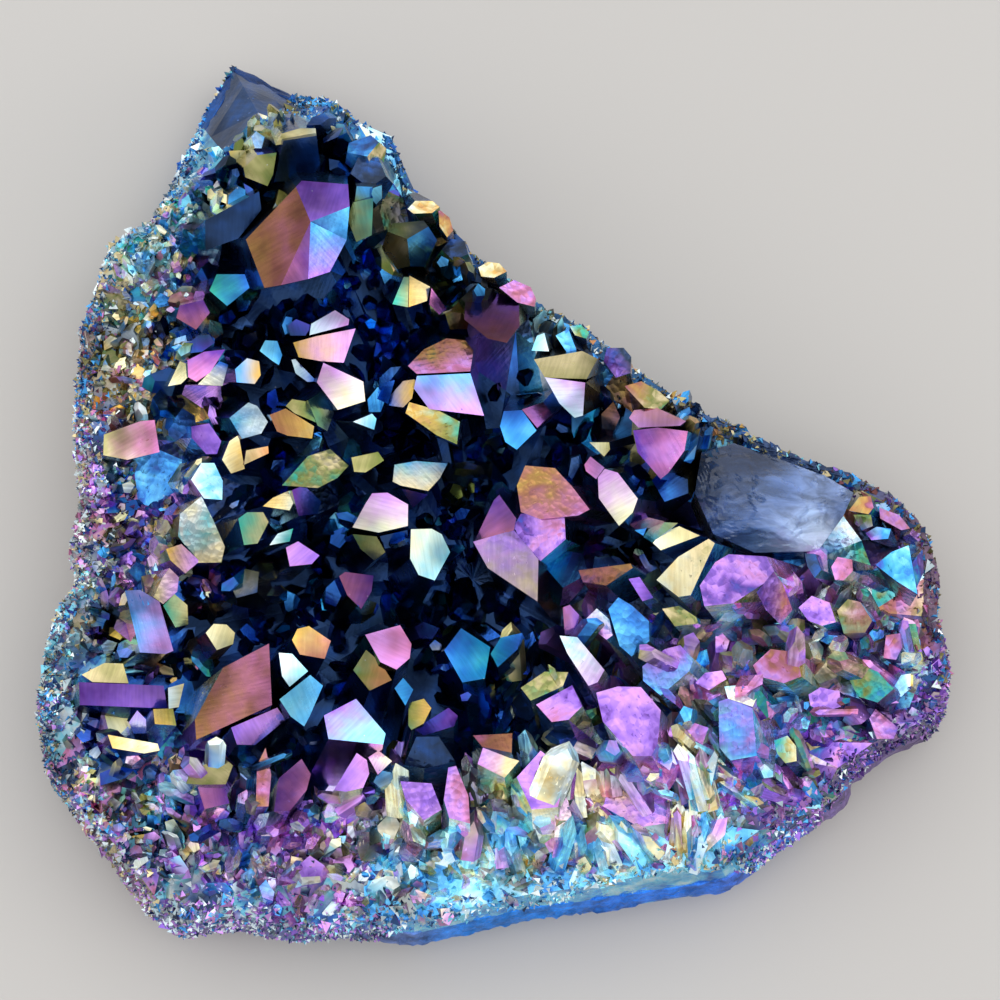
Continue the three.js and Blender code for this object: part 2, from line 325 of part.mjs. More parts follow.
function makeRock() {
  const rings = rockRings();
  const place = (round, across, target) => {
    const point = outlineCurve.getPoint(round < 1 ? 1 - round : 1);
    const arm = new THREE.Vector2(point.x, point.y).sub(CENTRE);
    const edge = { angle: arm.angle(), radius: arm.length(), ledge: point.z };
    const ring = rings[Math.round(across * (rings.length - 1))](edge);
    arm.setLength(ring.radius).add(CENTRE);
    const height = ring.height ?? bowlHeight(ring.share, arm.x, arm.y);
    target.set(arm.x, arm.y, height);
  };
  return new ParametricGeometry(place, OUTLINE.length, rings.length - 1);
}

// Corners of the body that a set of planes encloses: each plane keeps what is behind it
function cornersOf(planes) {
  const corners = [];
  for (let i = 0; i < planes.length; i += 1) {
    for (let j = i + 1; j < planes.length; j += 1) {
      for (let k = j + 1; k < planes.length; k += 1) {
        const [a, b, c] = [planes[i], planes[j], planes[k]];
        const crossing = new THREE.Vector3().crossVectors(b.normal, c.normal);
        const volume = a.normal.dot(crossing);
        if (Math.abs(volume) < 1e-6) continue;
        crossing.multiplyScalar(-a.constant);
        crossing.addScaledVector(new THREE.Vector3().crossVectors(c.normal, a.normal), -b.constant);
        crossing.addScaledVector(new THREE.Vector3().crossVectors(a.normal, b.normal), -c.constant);
        crossing.divideScalar(volume);
        if (planes.every((plane) => plane.distanceToPoint(crossing) < 1e-5)) corners.push(crossing);
      }
    }
  }
  return corners;
}

// A quartz crystal with its tip at the origin and its prism below it: six prism faces and the
// three large pyramid faces that meet in the tip
function crystalPlanes(width, length) {
  const planes = [new THREE.Plane(new THREE.Vector3(0, 0, -1), -length)];
  for (let side = 0; side < 6; side += 1) {
    const angle = side * Math.PI / 3;
    const out = new THREE.Vector3(Math.cos(angle), Math.sin(angle), 0);
    const reach = width / 2 * (1 + PRISM_JITTER * (2 * chance() - 1));
    planes.push(new THREE.Plane(out, -reach));
    if (side % 2 === 0) {
      const slant = out.clone().multiplyScalar(Math.cos(PYRAMID_ANGLE));
      slant.z = Math.sin(PYRAMID_ANGLE);
      planes.push(new THREE.Plane(slant, 0));
    }
  }
  return planes;
}

// How far down its axis a crystal goes before it is rooted in the rock
function rootLength(tip, axis) {
  const point = tip.clone();
  let length = 0;
  do {
    length += ROOT_STEP;
    point.copy(tip).addScaledVector(axis, -length);
  } while (point.z > bowlHeightAt(point.x, point.y) - ROOT_DEPTH);
  return length;
}

// Draws a root corner in towards the middle where it would come out through the flank
function keepInside(corner) {
  const inward = Math.min(1, ROOT_LIMIT / shareOfRim(corner.x, corner.y).outline);
  corner.x = CENTRE.x + (corner.x - CENTRE.x) * inward;
  corner.y = CENTRE.y + (corner.y - CENTRE.y) * inward;
  return corner;
}

function makeTippedCrystal([x, y, z, width, lean, heading, turn]) {
  const tip = new THREE.Vector3(x, y, z);
  const tilt = THREE.MathUtils.degToRad(lean);
  const bearing = THREE.MathUtils.degToRad(heading);
  const axis = new THREE.Vector3(
    Math.sin(tilt) * Math.cos(bearing), Math.sin(tilt) * Math.sin(bearing), Math.cos(tilt));
  const up = new THREE.Vector3(0, 0, 1);
  const pose = new THREE.Quaternion().setFromUnitVectors(up, axis);
  const spin = bearing + Math.PI + THREE.MathUtils.degToRad(turn);
  pose.multiply(new THREE.Quaternion().setFromAxisAngle(up, spin));
  const corners = cornersOf(crystalPlanes(width, rootLength(tip, axis)));
  return new ConvexGeometry(corners.map((corner) => {
    const placed = corner.clone().applyQuaternion(pose).add(tip);
    return corner.z < -width ? keepInside(placed) : placed;
  }));
}

// The body under a set of top corners, which goes down and out to its root
function bodyUnder(top, middle) {
  const { rim } = shareOfRim(middle.x, middle.y);
  const lean = THREE.MathUtils.lerp(INWARD_LEAN[0], INWARD_LEAN[1], Math.min(rim, 1));
  const tilt = THREE.MathUtils.degToRad(lean);
  const inward = new THREE.Vector2(middle.x, middle.y).sub(CENTRE).setLength(-Math.sin(tilt));
  const axis = new THREE.Vector3(inward.x, inward.y, Math.cos(tilt));
  const length = rootLength(middle, axis);
  const root = middle.clone().addScaledVector(axis, -length);
  const widening = 1 + FLARE * length;
  const base = top.map((corner) => {
    const out = corner.clone().sub(middle).multiplyScalar(widening).add(root);
    return keepInside(out.setZ(Math.min(out.z, root.z)));
  });
  return new ConvexGeometry([...top, ...base]);
}

function cornersFromAbove(numbers) {
  const corners = [];
  for (let index = 0; index < numbers.length; index += 2) {
    corners.push(new THREE.Vector3(numbers[index], numbers[index + 1], 0));
  }
  return corners;
}

// How much a leaning face falls for each millimetre along X and along Y
function fallOf(lean, heading) {
  const bearing = THREE.MathUtils.degToRad(heading);
  const slope = Math.tan(THREE.MathUtils.degToRad(lean));
  return new THREE.Vector3(Math.cos(bearing), Math.sin(bearing), 0).multiplyScalar(slope);
}

function makeFacedCrystal([height, lean, heading, numbers]) {
  const top = cornersFromAbove(numbers);
  const middle = top.reduce((sum, corner) => sum.add(corner), new THREE.Vector3());
  middle.divideScalar(top.length);
  const fall = fallOf(STEEPER * lean + STEEPER_BY, heading);
  for (const corner of top) {
    corner.z = height - corner.clone().sub(middle).dot(fall);
  }
  return bodyUnder(top, middle.setZ(height));
}

function makeLargestCrystal() {
  const tip = new THREE.Vector3(...LARGEST_TIP);
  const falls = LARGEST_FACES.map(([lean, heading]) => fallOf(lean, heading));
  const top = cornersFromAbove(LARGEST_OUTLINE);
  for (const corner of top) {
    const arm = new THREE.Vector3(corner.x - tip.x, corner.y - tip.y, 0);
    corner.z = tip.z - Math.max(...falls.map((fall) => arm.dot(fall)));
  }
  return bodyUnder([tip, ...top], tip);
}

function makeBrokenQuartz() {
  const top = QUARTZ_TOP.map(([x, y, z]) => new THREE.Vector3(x, y, z));
  const root = QUARTZ_TOP.map(([x, y]) => new THREE.Vector3(x, y, QUARTZ_ROOT_HEIGHT));
  return new ConvexGeometry([...top, ...root]);
}

const wasm = await Module();
wasm.setup();

function toSolid(geometry) {
  geometry.deleteAttribute('normal');
  geometry.deleteAttribute('uv');
  const merged = mergeVertices(geometry, 1e-4);
  const index = merged.index.array;
  const kept = [];
  for (let corner = 0; corner < index.length; corner += 3) {
    const [a, b, c] = index.slice(corner, corner + 3);
    if (a !== b && b !== c && c !== a) kept.push(a, b, c);
  }
  return new wasm.Manifold(new wasm.Mesh({
    numProp: 3,
    vertProperties: new Float32Array(merged.attributes.position.array),
    triVerts: new Uint32Array(kept),
  }));
}

function toGeometry(solid) {
  const mesh = solid.getMesh();
  const geometry = new THREE.BufferGeometry();
  geometry.setAttribute('position', new THREE.BufferAttribute(mesh.vertProperties, 3));
  geometry.setIndex(new THREE.BufferAttribute(mesh.triVerts, 1));
  geometry.computeVertexNormals();
  return geometry;
}

function makeCluster() {
  const faces = [
    ...UPPER_FACES, ...CENTRE_FACES, ...MIDDLE_FACES, ...RIGHT_FACES, ...LOWER_FACES,
  ];
  const bodies = [
    makeBrokenQuartz(), makeLargestCrystal(),
    ...TIPPED_CRYSTALS.map(makeTippedCrystal), ...faces.map(makeFacedCrystal),
  ];
  const joined = bodies.reduce((solid, body) => solid.add(toSolid(body)), toSolid(makeRock()));
  // Gaps that the crystals close off between them come apart as hollows: only the body is kept
  const largest = joined.decompose().reduce((one, other) => {
    return other.volume() > one.volume() ? other : one;
  });
  return toGeometry(largest);
}

const cluster = new THREE.Mesh(makeCluster(), new THREE.MeshStandardMaterial({
  color: 0x6a4fa8,
  roughness: 0.25,
  metalness: 0.9,
}));
cluster.name = 'druzy_cluster';

const druzy = new THREE.Group();
druzy.add(cluster);

export default druzy;
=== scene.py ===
"""Titanium aura druzy: a broken plate of geode rock lined with metal-coated quartz crystals.

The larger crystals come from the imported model. This script adds the smaller crystals between
them, the crust along the rim, the fine growth, the rough rock and the chunk of clear quartz, and
gives every facet its own interference colour. Lists of places are in millimetres, meshes are in
metres.
"""
import json
import math

import bpy
import numpy as np
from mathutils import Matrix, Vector, noise
from mathutils.bvhtree import BVHTree

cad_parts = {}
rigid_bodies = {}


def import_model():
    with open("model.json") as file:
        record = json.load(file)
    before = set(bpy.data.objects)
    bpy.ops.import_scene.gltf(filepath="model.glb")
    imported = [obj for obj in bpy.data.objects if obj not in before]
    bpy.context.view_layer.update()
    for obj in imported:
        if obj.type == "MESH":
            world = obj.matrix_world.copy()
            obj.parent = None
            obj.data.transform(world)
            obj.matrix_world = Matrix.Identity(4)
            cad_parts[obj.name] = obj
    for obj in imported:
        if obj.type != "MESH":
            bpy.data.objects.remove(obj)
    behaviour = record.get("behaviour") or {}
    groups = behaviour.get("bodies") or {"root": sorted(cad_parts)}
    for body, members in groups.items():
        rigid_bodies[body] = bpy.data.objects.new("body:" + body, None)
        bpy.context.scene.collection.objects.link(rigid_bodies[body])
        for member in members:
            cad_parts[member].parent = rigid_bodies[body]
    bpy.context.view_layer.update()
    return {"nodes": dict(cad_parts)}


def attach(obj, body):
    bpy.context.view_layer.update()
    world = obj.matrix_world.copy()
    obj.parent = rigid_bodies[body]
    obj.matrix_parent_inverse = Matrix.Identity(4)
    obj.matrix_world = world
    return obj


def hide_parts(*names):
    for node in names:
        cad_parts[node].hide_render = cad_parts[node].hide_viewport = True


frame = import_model()

MM = 0.001
rng = np.random.default_rng(41)

# The eye looks down at the target on the plate, a little from the lower side
TARGET = np.array([-0.3, -1.5, 15.0])
EYE_DISTANCE = 400.0
EYE_ELEVATION = math.radians(80.0)
EYE = TARGET + EYE_DISTANCE * np.array([0.0, -math.cos(EYE_ELEVATION), math.sin(EYE_ELEVATION)])

# Spots that the eye sees are given at this height
SPOT_HEIGHT = 26.0

# The middle of the plate, which the rim goes round
CENTRE = np.array([-4.0, -12.0])

# Interference colours in the order in which they follow each other as the film gets thicker
FILM = [
    (0.00, (0.020, 0.034, 0.062)), (0.06, (0.032, 0.072, 0.180)), (0.12, (0.025, 0.120, 0.480)),
    (0.18, (0.070, 0.410, 0.880)), (0.24, (0.260, 0.780, 0.920)), (0.30, (0.800, 0.900, 0.900)),
    (0.35, (0.860, 0.820, 0.500)), (0.41, (0.760, 0.480, 0.110)), (0.47, (0.560, 0.250, 0.100)),
    (0.52, (0.400, 0.130, 0.130)), (0.57, (0.640, 0.210, 0.420)), (0.62, (0.700, 0.340, 0.820)),
    (0.67, (0.370, 0.180, 0.740)), (0.72, (0.130, 0.040, 0.280)), (0.77, (0.060, 0.080, 0.460)),
    (0.82, (0.015, 0.240, 0.460)), (0.87, (0.050, 0.440, 0.300)), (0.92, (0.180, 0.230, 0.050)),
    (0.96, (0.380, 0.340, 0.130)), (1.00, (0.740, 0.600, 0.320)),
]
TINTS = {
    "black": 0.01, "navy": 0.06, "royal": 0.12, "azure": 0.18, "cyan": 0.24, "white": 0.30,
    "cream": 0.35, "gold": 0.41, "bronze": 0.47, "brown": 0.52, "rose": 0.57, "pink": 0.62,
    "violet": 0.67, "purple": 0.72, "indigo": 0.77, "teal": 0.82, "green": 0.87, "olive": 0.92,
    "khaki": 0.96, "sand": 1.0, "copper": 0.47, "wine": 0.55, "slate": 0.30, "coal": 0.06,
    "plum": 0.70, "ivory": 0.34, "frost": 0.28, "lilac": 0.65,
}
# Faces of these tints are darker than their film
SHADES = {
    "lilac": 0.85, "ivory": 0.75, "frost": 0.75, "copper": 0.38, "wine": 0.55, "plum": 0.5,
    "slate": 0.3, "coal": 0.5,
}

# The tints of a facet: where it is as the eye sees it, its tint and the tint it runs into, and
# the heading in which it does, unless that is 0. Facets that aren't named take their tints from
# the zone they are in.
FACET_TINTS = [
    (-27, 28, "wine plum"), (19.3, -31.9, "lilac violet", -60), (31.3, -13.5, "lilac plum", -40),
    (-40.5, -6.1, "frost khaki", -90), (32.4, -34.4, "violet azure", -90), (24, -12.3, "ivory sand"),
    (-10.2, 0.6, "teal sand", -90), (2.3, -11.5, "violet sand", -90), (-0.4, -5.4, "plum wine", -90),
    (-31, 32, "copper brown", -20), (-24, 38, "violet purple", 120), (-24, 31, "azure violet", -90),
    (-27.5, 42.5, "black navy"), (-28, 46.5, "khaki cream"), (-32.8, 41.5, "khaki olive"),
    (-35.8, 37.5, "cream khaki"), (-36.5, 33.5, "black navy"), (-37, 29, "black navy", -90),
    (-37, 25, "green royal"), (-41, 22.5, "purple brown", -90), (-18, 46, "azure royal"),
    (-15, 44.5, "white cyan"), (-25, 49.5, "azure royal"), (-17.5, 40, "navy black"),
    (-18.5, 35, "khaki green"), (-10.5, 36.5, "gold cream", 90), (-7.7, 34.5, "bronze brown"),
    (-12.3, 33.7, "olive black"), (-14, 31.2, "gold khaki"), (-11, 30.5, "azure royal"),
    (-6, 30.5, "black navy"), (-1.3, 28, "cream gold"), (2.3, 24.3, "pink rose"),
    (-1.5, 19.5, "plum brown", -90), (0, 15.5, "plum navy"), (-6.5, 20.5, "olive brown"),
    (-13.5, 23.5, "green khaki"), (-11.5, 24, "gold sand"), (-8.5, 23, "rose purple"),
    (5.2, 17.5, "cyan white"), (8.3, 18, "cyan azure"), (11, 19.5, "white green"),
    (15.5, 15, "purple navy"), (13.8, 16.8, "azure royal"), (8.5, 14, "khaki sand", 90),
    (8.8, 10, "frost pink", 60), (2.2, 5.3, "royal azure", -90), (5, 7.5, "rose violet"),
    (-14, 11, "royal gold"), (-8, 15.5, "bronze rose", -90), (-7, 10.5, "azure pink", -90),
    (-7, 6, "gold olive"), (-24.5, 19.5, "frost pink"), (-23.5, 15.8, "gold pink"),
    (-21, 11.5, "pink cream", -60), (-18.3, 6.8, "white cyan"), (-40, 15.5, "rose purple", 90),
    (-33.8, 13.8, "azure gold"), (-30.8, 16.5, "cyan azure"), (-26, 13.5, "white royal"),
    (-49.5, 5.3, "rose khaki", 200), (-43, 7, "royal navy"), (-39, 5, "purple violet"),
    (-33.5, 7, "teal white"), (-35, 3.5, "cream gold"), (-32.5, 2.7, "sand bronze"),
    (-27.5, 6.5, "bronze gold"), (-26.5, 8.5, "khaki olive"), (-24.5, 8.5, "olive black"),
    (-39, -1, "white cyan"), (-41.5, -11, "gold pink"), (-46, -3, "royal azure"), (-23, 1, "olive khaki"),
    (-28.5, -3.7, "gold cream"), (-26, -3.3, "purple navy"), (-32.5, -7.5, "green khaki"),
    (-35.3, -6.8, "green azure"), (-29, -8.8, "white green"), (-26.3, -11, "pink violet"),
    (-18, 1.4, "khaki olive"), (-12, -3, "brown purple"), (-15.5, -4.5, "ivory pink", 90),
    (-17, -8.3, "olive khaki"), (-9.5, -11.2, "ivory cyan", -40), (-19, -15.6, "wine purple"),
    (6, -2, "bronze rose", -60), (5.5, -9, "violet pink"), (14.8, -3.8, "ivory pink", 110),
    (12, 0.8, "rose pink"), (13, 3.5, "cream khaki"), (16, 1, "cream sand"), (7.5, -13, "teal navy"),
    (13.5, -13.3, "brown bronze"), (20.5, 10.8, "bronze khaki"), (20.5, 7, "bronze pink", -90),
    (21, 3, "purple rose"), (20, -0.5, "gold olive"), (22.5, -2.5, "royal navy"), (26, -4, "cream white"),
    (22, -7, "green khaki"), (24, -8.5, "cream khaki"), (18.5, -6.5, "azure royal"),
    (36.5, -14.5, "purple brown"), (47.5, -5, "olive bronze"), (52, -5.8, "brown pink"),
    (45.5, -7.3, "azure white"), (49, -7.8, "violet azure"), (52, -12, "teal azure"),
    (54.3, -12.5, "purple navy"), (56.8, -14.5, "brown khaki"), (44.8, -12.5, "pink rose"),
    (40.3, -13, "white green"), (41.5, -17.5, "violet pink"), (46.5, -18.5, "olive brown"),
    (50.5, -17, "green cyan"), (51.3, -22.2, "rose purple"), (47, -27, "olive green"),
    (42, -27, "violet pink"), (46.5, -31.5, "indigo navy"), (50.5, -33, "rose violet"),
    (16.5, -20.8, "azure royal"), (10.5, -25.5, "white pink"), (7.5, -30.5, "pink violet"),
    (10.5, -36.5, "violet pink"), (14.5, -43.5, "gold pink"), (21, -26, "violet azure", -90),
    (27, -27, "violet pink"), (23.5, -19, "khaki olive"), (13, -16, "brown pink"),
    (18.5, -16, "violet purple"), (34, -34, "pink white"), (24.5, -33.5, "rose violet"),
    (24, -40, "cyan white"), (35.5, -25.5, "rose brown"), (38.8, -29, "green white"),
    (42, -30.5, "violet purple"), (36, -34, "gold violet"), (37.5, -36.5, "green cream"),
    (43, -36.5, "purple violet"), (-15, -23.4, "pink rose"), (-17, -26.6, "olive bronze"),
    (-19.2, -33.6, "violet cyan", -60), (-12.8, -29.3, "azure teal"), (-14.5, -33, "azure navy"),
    (-10.5, -31.5, "olive gold"), (-8.5, -33.2, "indigo purple"), (-19.2, -39.5, "violet pink"),
    (-10, -37, "navy black"), (-6.3, -43, "pink rose"), (-13.2, -44, "cream olive"),
    (-10, -43.5, "violet pink"), (-1.5, -35.5, "brown bronze"), (0, -38.3, "pink sand"),
    (5, -40, "violet pink"), (6.5, -28, "khaki olive"), (1, -23.8, "teal royal"), (-5, -22, "royal teal"),
    (5.5, -17.5, "rose gold"), (9, -20, "rose violet"), (-46.5, -19.5, "azure pink"),
    (-44.5, -14.5, "sand pink"), (-43.2, -17.8, "green khaki"), (-36.8, -21.8, "cream khaki"),
    (-24.8, -22.5, "gold brown", -60), (-34, -28, "wine bronze", 200), (-27, -26, "white cyan"),
    (-26, -30.5, "cyan azure"), (-32, -32.5, "violet pink"), (-38.5, -28, "khaki white"),
    (-52.3, -26.3, "sand khaki"), (-50, -29, "purple violet"), (-43.2, -29, "white sand"),
    (-44.5, -32, "gold olive"), (-48, -35.3, "gold cream"), (-50.8, -39.3, "indigo navy"),
    (-38.5, -39.5, "olive khaki"), (-38, -42.5, "rose purple"), (-31.5, -40.5, "brown pink"),
    (-27.3, -40.5, "purple rose"), (-24.7, -39.5, "violet pink"), (-31, -45.5, "white green"),
]

# The same for faces that smaller crystals may stand before
OVERGROWN_TINTS = [
    (-50, -42.7, "wine violet"), (-51, -3.5, "wine violet"), (-48, -52, "wine pink"),
    (-53, -8, "wine sand"),
]

# The chunk of clear quartz: its middle, reach along and across, the heading of along, and the
# height that its broken faces stand above
CLEAR_QUARTZ = (36.3, -2.7, 11.2, 7.8, -12.0)
QUARTZ_FOOT = 19.0

# Its broken faces left of here are the dark ones
QUARTZ_DARK_SIDE = 31

# Middle of each zone and the tints that its small crystals take
ZONES = [
    (-16, 44, "navy royal azure azure olive khaki black cyan"),
    (-30, 50, "azure navy cream khaki royal olive"),
    (-48, 34, "white cream cyan sand azure green pink white"),
    (-50, 16, "sand khaki gold rose azure cream white"),
    (-40, 6, "navy azure cream pink royal khaki white"),
    (-48, -8, "azure violet cream khaki royal pink"),
    (-40, -22, "khaki navy azure gold cream royal rose"),
    (-48, -34, "white cream azure cyan rose khaki navy violet"),
    (-36, -46, "white violet cyan cream pink pink azure navy"),
    (-22, -48, "pink violet cream cyan white pink sand navy"),
    (-6, -48, "cream cyan pink azure khaki white"),
    (12, -46, "cream cyan khaki pink white violet azure"),
    (26, -40, "violet pink cyan cream azure rose"),
    (40, -32, "violet pink purple azure rose green khaki"),
    (52, -22, "violet rose khaki green pink azure"),
    (48, -8, "azure violet olive pink navy cream"),
    (30, 4, "royal navy azure khaki"),
    (18, 12, "navy purple azure bronze khaki navy"),
    (6, 22, "cyan azure navy khaki white"),
    (-8, 34, "navy olive azure gold black"),
    (-20, 22, "navy royal black azure"),
    (-10, 6, "navy azure royal navy olive khaki"),
    (-24, -2, "teal navy azure khaki navy olive cyan"),
    (-16, -14, "royal navy royal khaki azure green"),
    (2, -26, "navy teal khaki royal olive"),
    (8, -4, "navy royal bronze black rose"),
    (16, -18, "violet azure olive pink royal"),
    (28, -24, "violet pink azure khaki rose"),
    (-24, -30, "navy royal azure olive black"),
]

# The same for the crust along the rim
CRUST_ZONES = [
    (-38, 48, "azure royal azure cyan white"), (-48, 34, "white azure cyan sand white white cyan"),
    (-54, 18, "sand azure rose azure white royal khaki"), (-55, -2, "rose white sand violet white white"),
    (-58, -22, "cyan white azure sand white cyan"), (-60, -35, "azure white sand cyan navy pink"),
    (-52, -50, "pink white sand white pink sand"), (-38, -58, "pink white violet white pink azure white"),
    (-22, -56, "pink cyan violet white pink"), (-8, -54, "cyan cyan azure white white"),
    (10, -50, "cyan white white azure cyan"), (24, -47, "cyan cream white cyan white"),
    (38, -42, "violet white pink violet azure pink"), (52, -30, "purple violet purple pink indigo"),
    (58, -15, "purple brown rose khaki azure"), (50, -2, "khaki brown azure violet"),
    (38, 4, "azure cyan khaki sand navy khaki"), (26, 11, "sand khaki gold bronze sand azure"),
    (15, 18, "bronze sand khaki azure white"),
    (5, 24, "cyan khaki white sand gold azure"), (-5, 34, "gold khaki olive azure sand"),
    (-15, 48, "azure cyan royal white"), (-26, 54, "azure royal khaki azure"),
]

# Fields of long crystals: middle, reach along x and y, how many, the heading that they lean to
# and its spread, their lean, length and width
FIELDS = [
    (-2, -45, 14, 5, 300, 92, 16, (50, 74), (5, 9), (1.5, 3.2)),
    (18, -45, 10, 5, 260, 108, 18, (50, 74), (5, 9), (1.5, 3.0)),
    (34, -36, 10, 7, 200, 135, 25, (35, 70), (4, 10), (1.0, 2.8)),
    (46, -24, 9, 10, 200, 150, 35, (30, 65), (3, 8), (1.0, 2.8)),
    (26, -22, 12, 10, 160, 130, 45, (30, 65), (3, 8), (1.0, 2.6)),
    (8, -30, 9, 8, 110, 100, 35, (30, 60), (4, 9), (1.0, 2.4)),
    (-30, -44, 14, 6, 140, 80, 40, (30, 65), (3, 7), (0.9, 2.2)),
    (-44, -12, 6, 14, 140, 0, 60, (30, 65), (3, 7), (0.9, 2.2)),
    (-47, 28, 5, 12, 240, 0, 90, (10, 60), (1.5, 4), (0.8, 2.2)),
    (-49, 8, 5, 12, 150, 0, 90, (10, 60), (1.5, 4), (0.8, 2.2)),
    (-46, -44, 10, 8, 240, 30, 70, (10, 60), (1.5, 4), (0.8, 2.2)),
    (-50, -6, 5, 10, 240, 0, 90, (10, 60), (1.5, 4), (0.8, 2.2)),
    (-2, 29, 7, 7, 160, 50, 60, (5, 50), (2, 5), (1.4, 3.4)),
    (13, 19, 8, 6, 160, 60, 60, (5, 50), (2, 5), (1.4, 3.4)),
    (28, 9, 8, 5, 140, 60, 60, (5, 50), (2, 5), (1.2, 3.0)),
    (-24, -51, 14, 6, 220, 70, 50, (10, 60), (1.5, 5), (0.8, 2.4)),
    (38, -24, 14, 10, 300, 120, 60, (5, 55), (2, 6), (1.2, 3.2)),
    (22, -34, 10, 8, 160, 120, 40, (15, 60), (2, 6), (1.2, 3.0)),
]

# The tints of the pale columns along the lower side
PALE_TINTS = "cream sand pink white cream pink white cyan rose cream khaki white pink".split()

# The tints of the smallest of them, near the edge
FROSTY_TINTS = "cyan azure cyan white cyan azure".split()

# The dark tints of crystals deep in the gaps, which paint the shade of the gaps
GAP_SHADE_TINTS = "navy navy royal royal teal indigo".split()

# The tints of most small crystals in the lower right part
PASTEL_TINTS = "pink violet azure cyan white cream sand pink white azure cyan white".split()

# Where the faces are crumpled by uneven growth: middle, reach and how much
CRUMPLED = [
    (36, -24, 20, 0.9), (50, -22, 11, 0.9), (12, -36, 12, 0.7), (30, -38, 14, 0.9), (5.5, -9, 4, 1.0),
    (1, -12, 4, 0.6), (-40, -4, 6, 0.8), (-38.5, -28, 4, 1.0), (-45, -38, 5, 0.9), (-31.5, -40.5, 4, 0.8),
    (-6, -47, 14, 0.7), (20, -50, 18, 0.8), (-48, -12, 6, 0.7), (-47, 30, 8, 0.7), (6.5, -28, 6, 0.7),
    (14, -20, 9, 0.6), (-30, 52, 8, 0.6), (-15, 44.5, 4, 0.8), (31, -14.5, 6, 1.0), (-30, -52, 12, 0.7),
    (-7, 14, 4, 0.4), (4, -3, 5, 0.5), (-44, 3, 6, 0.9), (-7, 5, 4, 0.7), (-24.5, 1, 5, 0.7),
    (50, -8, 10, 0.8),
]

# Faces of the rim that carry one film: middle, reach, the two tints, shade and crumple
RIM_LOOKS = [
    (-36, 53, 7, "navy", "navy", 1.5, 0.1), (-29, 50, 4, "khaki", "azure", 0.8, 0.8),
    (20, -54, 16, "azure", "cyan", 0.9, 0.7), (0, -57, 14, "azure", "cyan", 0.9, 0.7),
    (-14, -60, 8, "azure", "royal", 0.9, 0.7), (-44, 45, 6, "azure", "cyan", 0.8, 0.8),
]

# Where the rim shows bare rock: middle, reach along and across, and the heading of along
BARE = [
    (-35.8, 56.0, 9.5, 5.2, 60.0), (22.0, -55.0, 15.0, 3.0, 8.0), (2.0, -58.5, 14.0, 2.2, 9.0),
    (-12.0, -61.0, 8.0, 1.8, 10.0), (50.0, -39.5, 9.0, 2.0, 40.0),
]

# Where the lower edge starts, which pale columns cover, and where the frosty ones start
LOWER_EDGE = -38
FROSTY_EDGE = -49

# How near the outline faces are crumpled and how near they are broken rock, and how far inside
# it and how low the floor between the crystals is
CRUMPLED_RIM = 6.0
BROKEN_RIM = 9.0
FLOOR_RIM = 12.0
FLOOR_HEIGHT = 15.0


def in_ellipse(x, y, ellipse):
    """Whether a place is in an ellipse: its middle, reach along and across, heading of along."""
    middle_x, middle_y, along, across, heading = ellipse
    turn = math.radians(heading)
    u = (x - middle_x) * math.cos(turn) + (y - middle_y) * math.sin(turn)
    v = (y - middle_y) * math.cos(turn) - (x - middle_x) * math.sin(turn)
    return (u / along) ** 2 + (v / across) ** 2 < 1


def bare(x, y):
    """Whether a place is on bare rock."""
    return any(in_ellipse(x, y, patch) for patch in BARE)


def lower_right(x, y):
    """Whether a place is in the lower right part, where pastel crystals fill the gaps."""
    return x > 10 and y < -12


def crowded(x, y):
    """Whether small crystals fill the gaps to the top: the lower right part and the lower edge."""
    return lower_right(x, y) or y < LOWER_EDGE


def crumple_at(x, y):
    """How crumpled the faces at a place are, from 0 to 1."""
    most = 0.0
    for cx, cy, reach, amount in CRUMPLED:
        near = 1.0 - math.hypot(x - cx, y - cy) / reach
        most = max(most, amount * min(1.0, max(0.0, near) * 2.0))
    return most


def unit(vector):
    """The vector at length 1."""
    return vector / np.linalg.norm(vector)


def flat_on(vector, normal):
    """The part of a vector that lies in the plane with this normal."""
    return vector - normal * (vector @ normal)


def leaning(lean, heading):
    """The direction that leans by so many degrees from straight up, to that heading."""
    lean, heading = math.radians(lean), math.radians(heading)
    return np.array([
        math.sin(lean) * math.cos(heading), math.sin(lean) * math.sin(heading), math.cos(lean),
    ])


def turned_frame(axis, turn):
    """Rows: two directions across the axis, turned about it, and the axis itself."""
    side = unit(np.cross(axis, (1.0, 0.0, 0.0) if abs(axis[0]) < 0.9 else (0.0, 1.0, 0.0)))
    other = np.cross(axis, side)
    cosine, sine = math.cos(math.radians(turn)), math.sin(math.radians(turn))
    return np.array([cosine * side + sine * other, cosine * other - sine * side, axis])


def pick(values):
    """One of the values."""
    return values[int(rng.random() * len(values))]


# ---------------------------------------------------------------- meshes and looks

def read_all(items, name, width=1, kind=float):
    """One property of all items of a mesh: an array with a row for each item."""
    values = np.empty(len(items) * width, kind)
    items.foreach_get(name, values)
    return values if width == 1 else values.reshape(-1, width)


def new_object(name, points, faces):
    """A mesh object in the scene, from corners in millimetres."""
    mesh = bpy.data.meshes.new(name)
    mesh.from_pydata((np.array(points) * MM).tolist(), [], faces)
    made = bpy.data.objects.new(name, mesh)
    bpy.context.scene.collection.objects.link(made)
    return made


def tree_of(thing):
    """A tree for casting rays at a mesh, in millimetres."""
    points = read_all(thing.data.vertices, "co", 3) / MM
    return BVHTree.FromPolygons(points.tolist(), [tuple(p.vertices) for p in thing.data.polygons])


# The corners of a quartz crystal after its tip: the foot of the end's faces, the base, and the
# lower ends of the three ridges that run down from the tip
RING, BASE, RIDGES = slice(1, 7), slice(7, 13), slice(13, 16)
END_HEIGHT = 0.635


